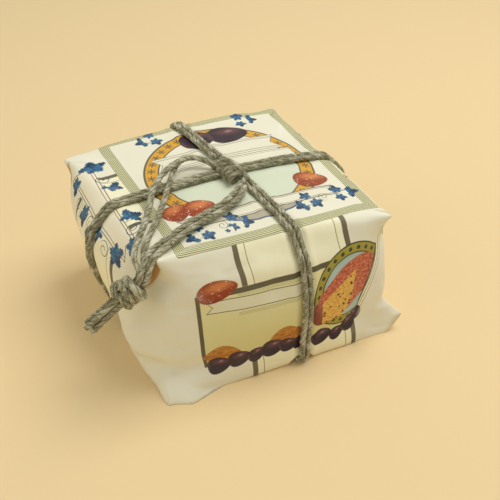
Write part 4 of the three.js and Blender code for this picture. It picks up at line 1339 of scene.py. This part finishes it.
# the folded edge beyond the panel, with the fine lines of its print
above_foot = step_up(v, 24.0, 30.0)
color = blend(inside_span(from_right, -3.4, 0.0, 0.15) * above_foot, color, CREAM)
fold_lines = calc("MAXIMUM", inside_span(from_right, -1.6, -1.1, 0.15), inside_span(from_right, -3.5, -2.9, 0.15))
color = blend(fold_lines * above_foot, color, srgb(150, 140, 96))
# border of the panel, over all but the stamped motifs
border = inside_span(from_upper, 0.0, 4.2) * (1.0 - on_plate)
for side_of_border in (inside_span(from_left, 0.0, 3.0), inside_span(from_right, 0.0, 1.4),
                       inside_span(from_lower, 0.0, 1.6) * step_down(u, -52.0, -51.0)):
    border = calc("MAXIMUM", border, side_of_border)
color = blend(border * panel, color, srgb(98, 92, 70))
finish_paper(color, True, 0.25)

# Unprinted paper, with painted shade in warm tan on the corner of the left end, and the paper of the inner
# flap, painted all over in the same tan as warm shade.
plain_paper, u, v = printed("plain_paper")
shade_patch = step_up(u, -109.0, -109.4) * step_up(v, 50.0, 50.4) * step_up(u - v * -2.04, 5.2, 6.2)
finish_paper(blend(shade_patch, PAPER_WHITE, SHADE_TAN), False, 0.3)
painted_shade_paper = new_material("painted_shade_paper", PAPER_WHITE)
finish_paper(SHADE_TAN, False, 0.3)
for material in (top_print, panel_print, plain_paper, painted_shade_paper):
    wrap_mesh.materials.append(material)
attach(wrapping, "root")
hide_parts("paper_wrap")

# ---- twine round the parcel ------------------------------------------------------------------------
# Two turns of doubled twine, one from side to side and one from front to back, drawn tight over the sheet.
for number, (name, route) in enumerate(strands.items()):
    band = twine_piece(f"jute_{name}", route / 1000, 51 + number, 700)
    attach(band, "root")
    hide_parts(f"twine_{name}")

# ---- knot on top -----------------------------------------------------------------------------------
# The crossing is lashed: turns of twine wound hard round the front-to-back strands, a second layer
# slanting back over the first, and a last loop across.
KNOT = np.array((3.6, -0.6, 120.1))
KNOT_UP = np.array((0, 0, 1))
knot_way, knot_side = BAND_WAY, np.array((BAND_WAY[1], -BAND_WAY[0], 0))


def lashing(first, last, turns, start, wide, high, lean):
    """Places along turns of twine round the crossing."""
    places = []
    for t in np.linspace(0, 1, int(14 * turns)):
        angle = start + 2 * math.pi * turns * t
        tuck = 1 - 0.45 * (max(0, 1 - t / 0.06) + max(0, (t - 0.94) / 0.06))
        places.append(KNOT + knot_way * (first + (last - first) * t + lean * math.cos(angle))
                      + knot_side * wide * tuck * math.cos(angle) + KNOT_UP * high * tuck * math.sin(angle))
    return places


top_knot = knotted("jute_top_knot", [
    lashing(-11.0, 14.0, 5.2, 0.4, 6.0, 3.6, 1.4), lashing(9.5, -9.0, 2.4, 2.2, 6.9, 5.2, -4.2),
    [(-4, 11, 119), (-1.5, 9.5, 122.6), (2.5, 4.5, 126.4), (7, -2.5, 125.6), (10, -10, 122), (11, -17, 119.6)],
], 71, 3200, TWINE_RADIUS)
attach(top_knot, "root")
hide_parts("top_knot")

# ---- floor and light -------------------------------------------------------------------------------
# A plain pale table and soft studio light: a broad key from the right and above, and a gentle fill.
bpy.ops.object.select_all(action="DESELECT")
bpy.ops.mesh.primitive_plane_add(size=8, location=(0, 0, 0))
floor = bpy.context.object
floor.name = "floor"
floor.data.materials.append(new_material("floor_paint", srgb(240, 214, 168)))
set_inputs(shader, {"Base Color": srgb(242, 216, 166), "Roughness": 0.9})


def soft_light(name, place, aim, size, power, tint):
    lamp = bpy.data.objects.new(name, bpy.data.lights.new(name, "AREA"))
    lamp.data.shape = "SQUARE"
    lamp.data.size = size
    lamp.data.energy = power
    lamp.data.color = tint
    lamp.location = place
    lamp.rotation_euler = (Vector(aim) - Vector(place)).to_track_quat("-Z", "Y").to_euler()
    bpy.context.scene.collection.objects.link(lamp)


soft_light("key", (0.62, 0.02, 1.55), (0, 0, 0.05), 1.1, 16.5, (1.0, 0.97, 0.93))
soft_light("fill", (-1.7, 0.1, 0.9), (0, 0, 0.05), 1.5, 6.0, (1.0, 0.93, 0.80))
world = bpy.data.worlds.new("studio")
world.use_nodes = True
bpy.context.scene.world = world
sky = next(n for n in world.node_tree.nodes if n.type == "BACKGROUND")
set_inputs(sky, {"Color": (0.98, 0.98, 0.92, 1), "Strength": 0.43})
bpy.context.scene.view_settings.view_transform = "Standard"
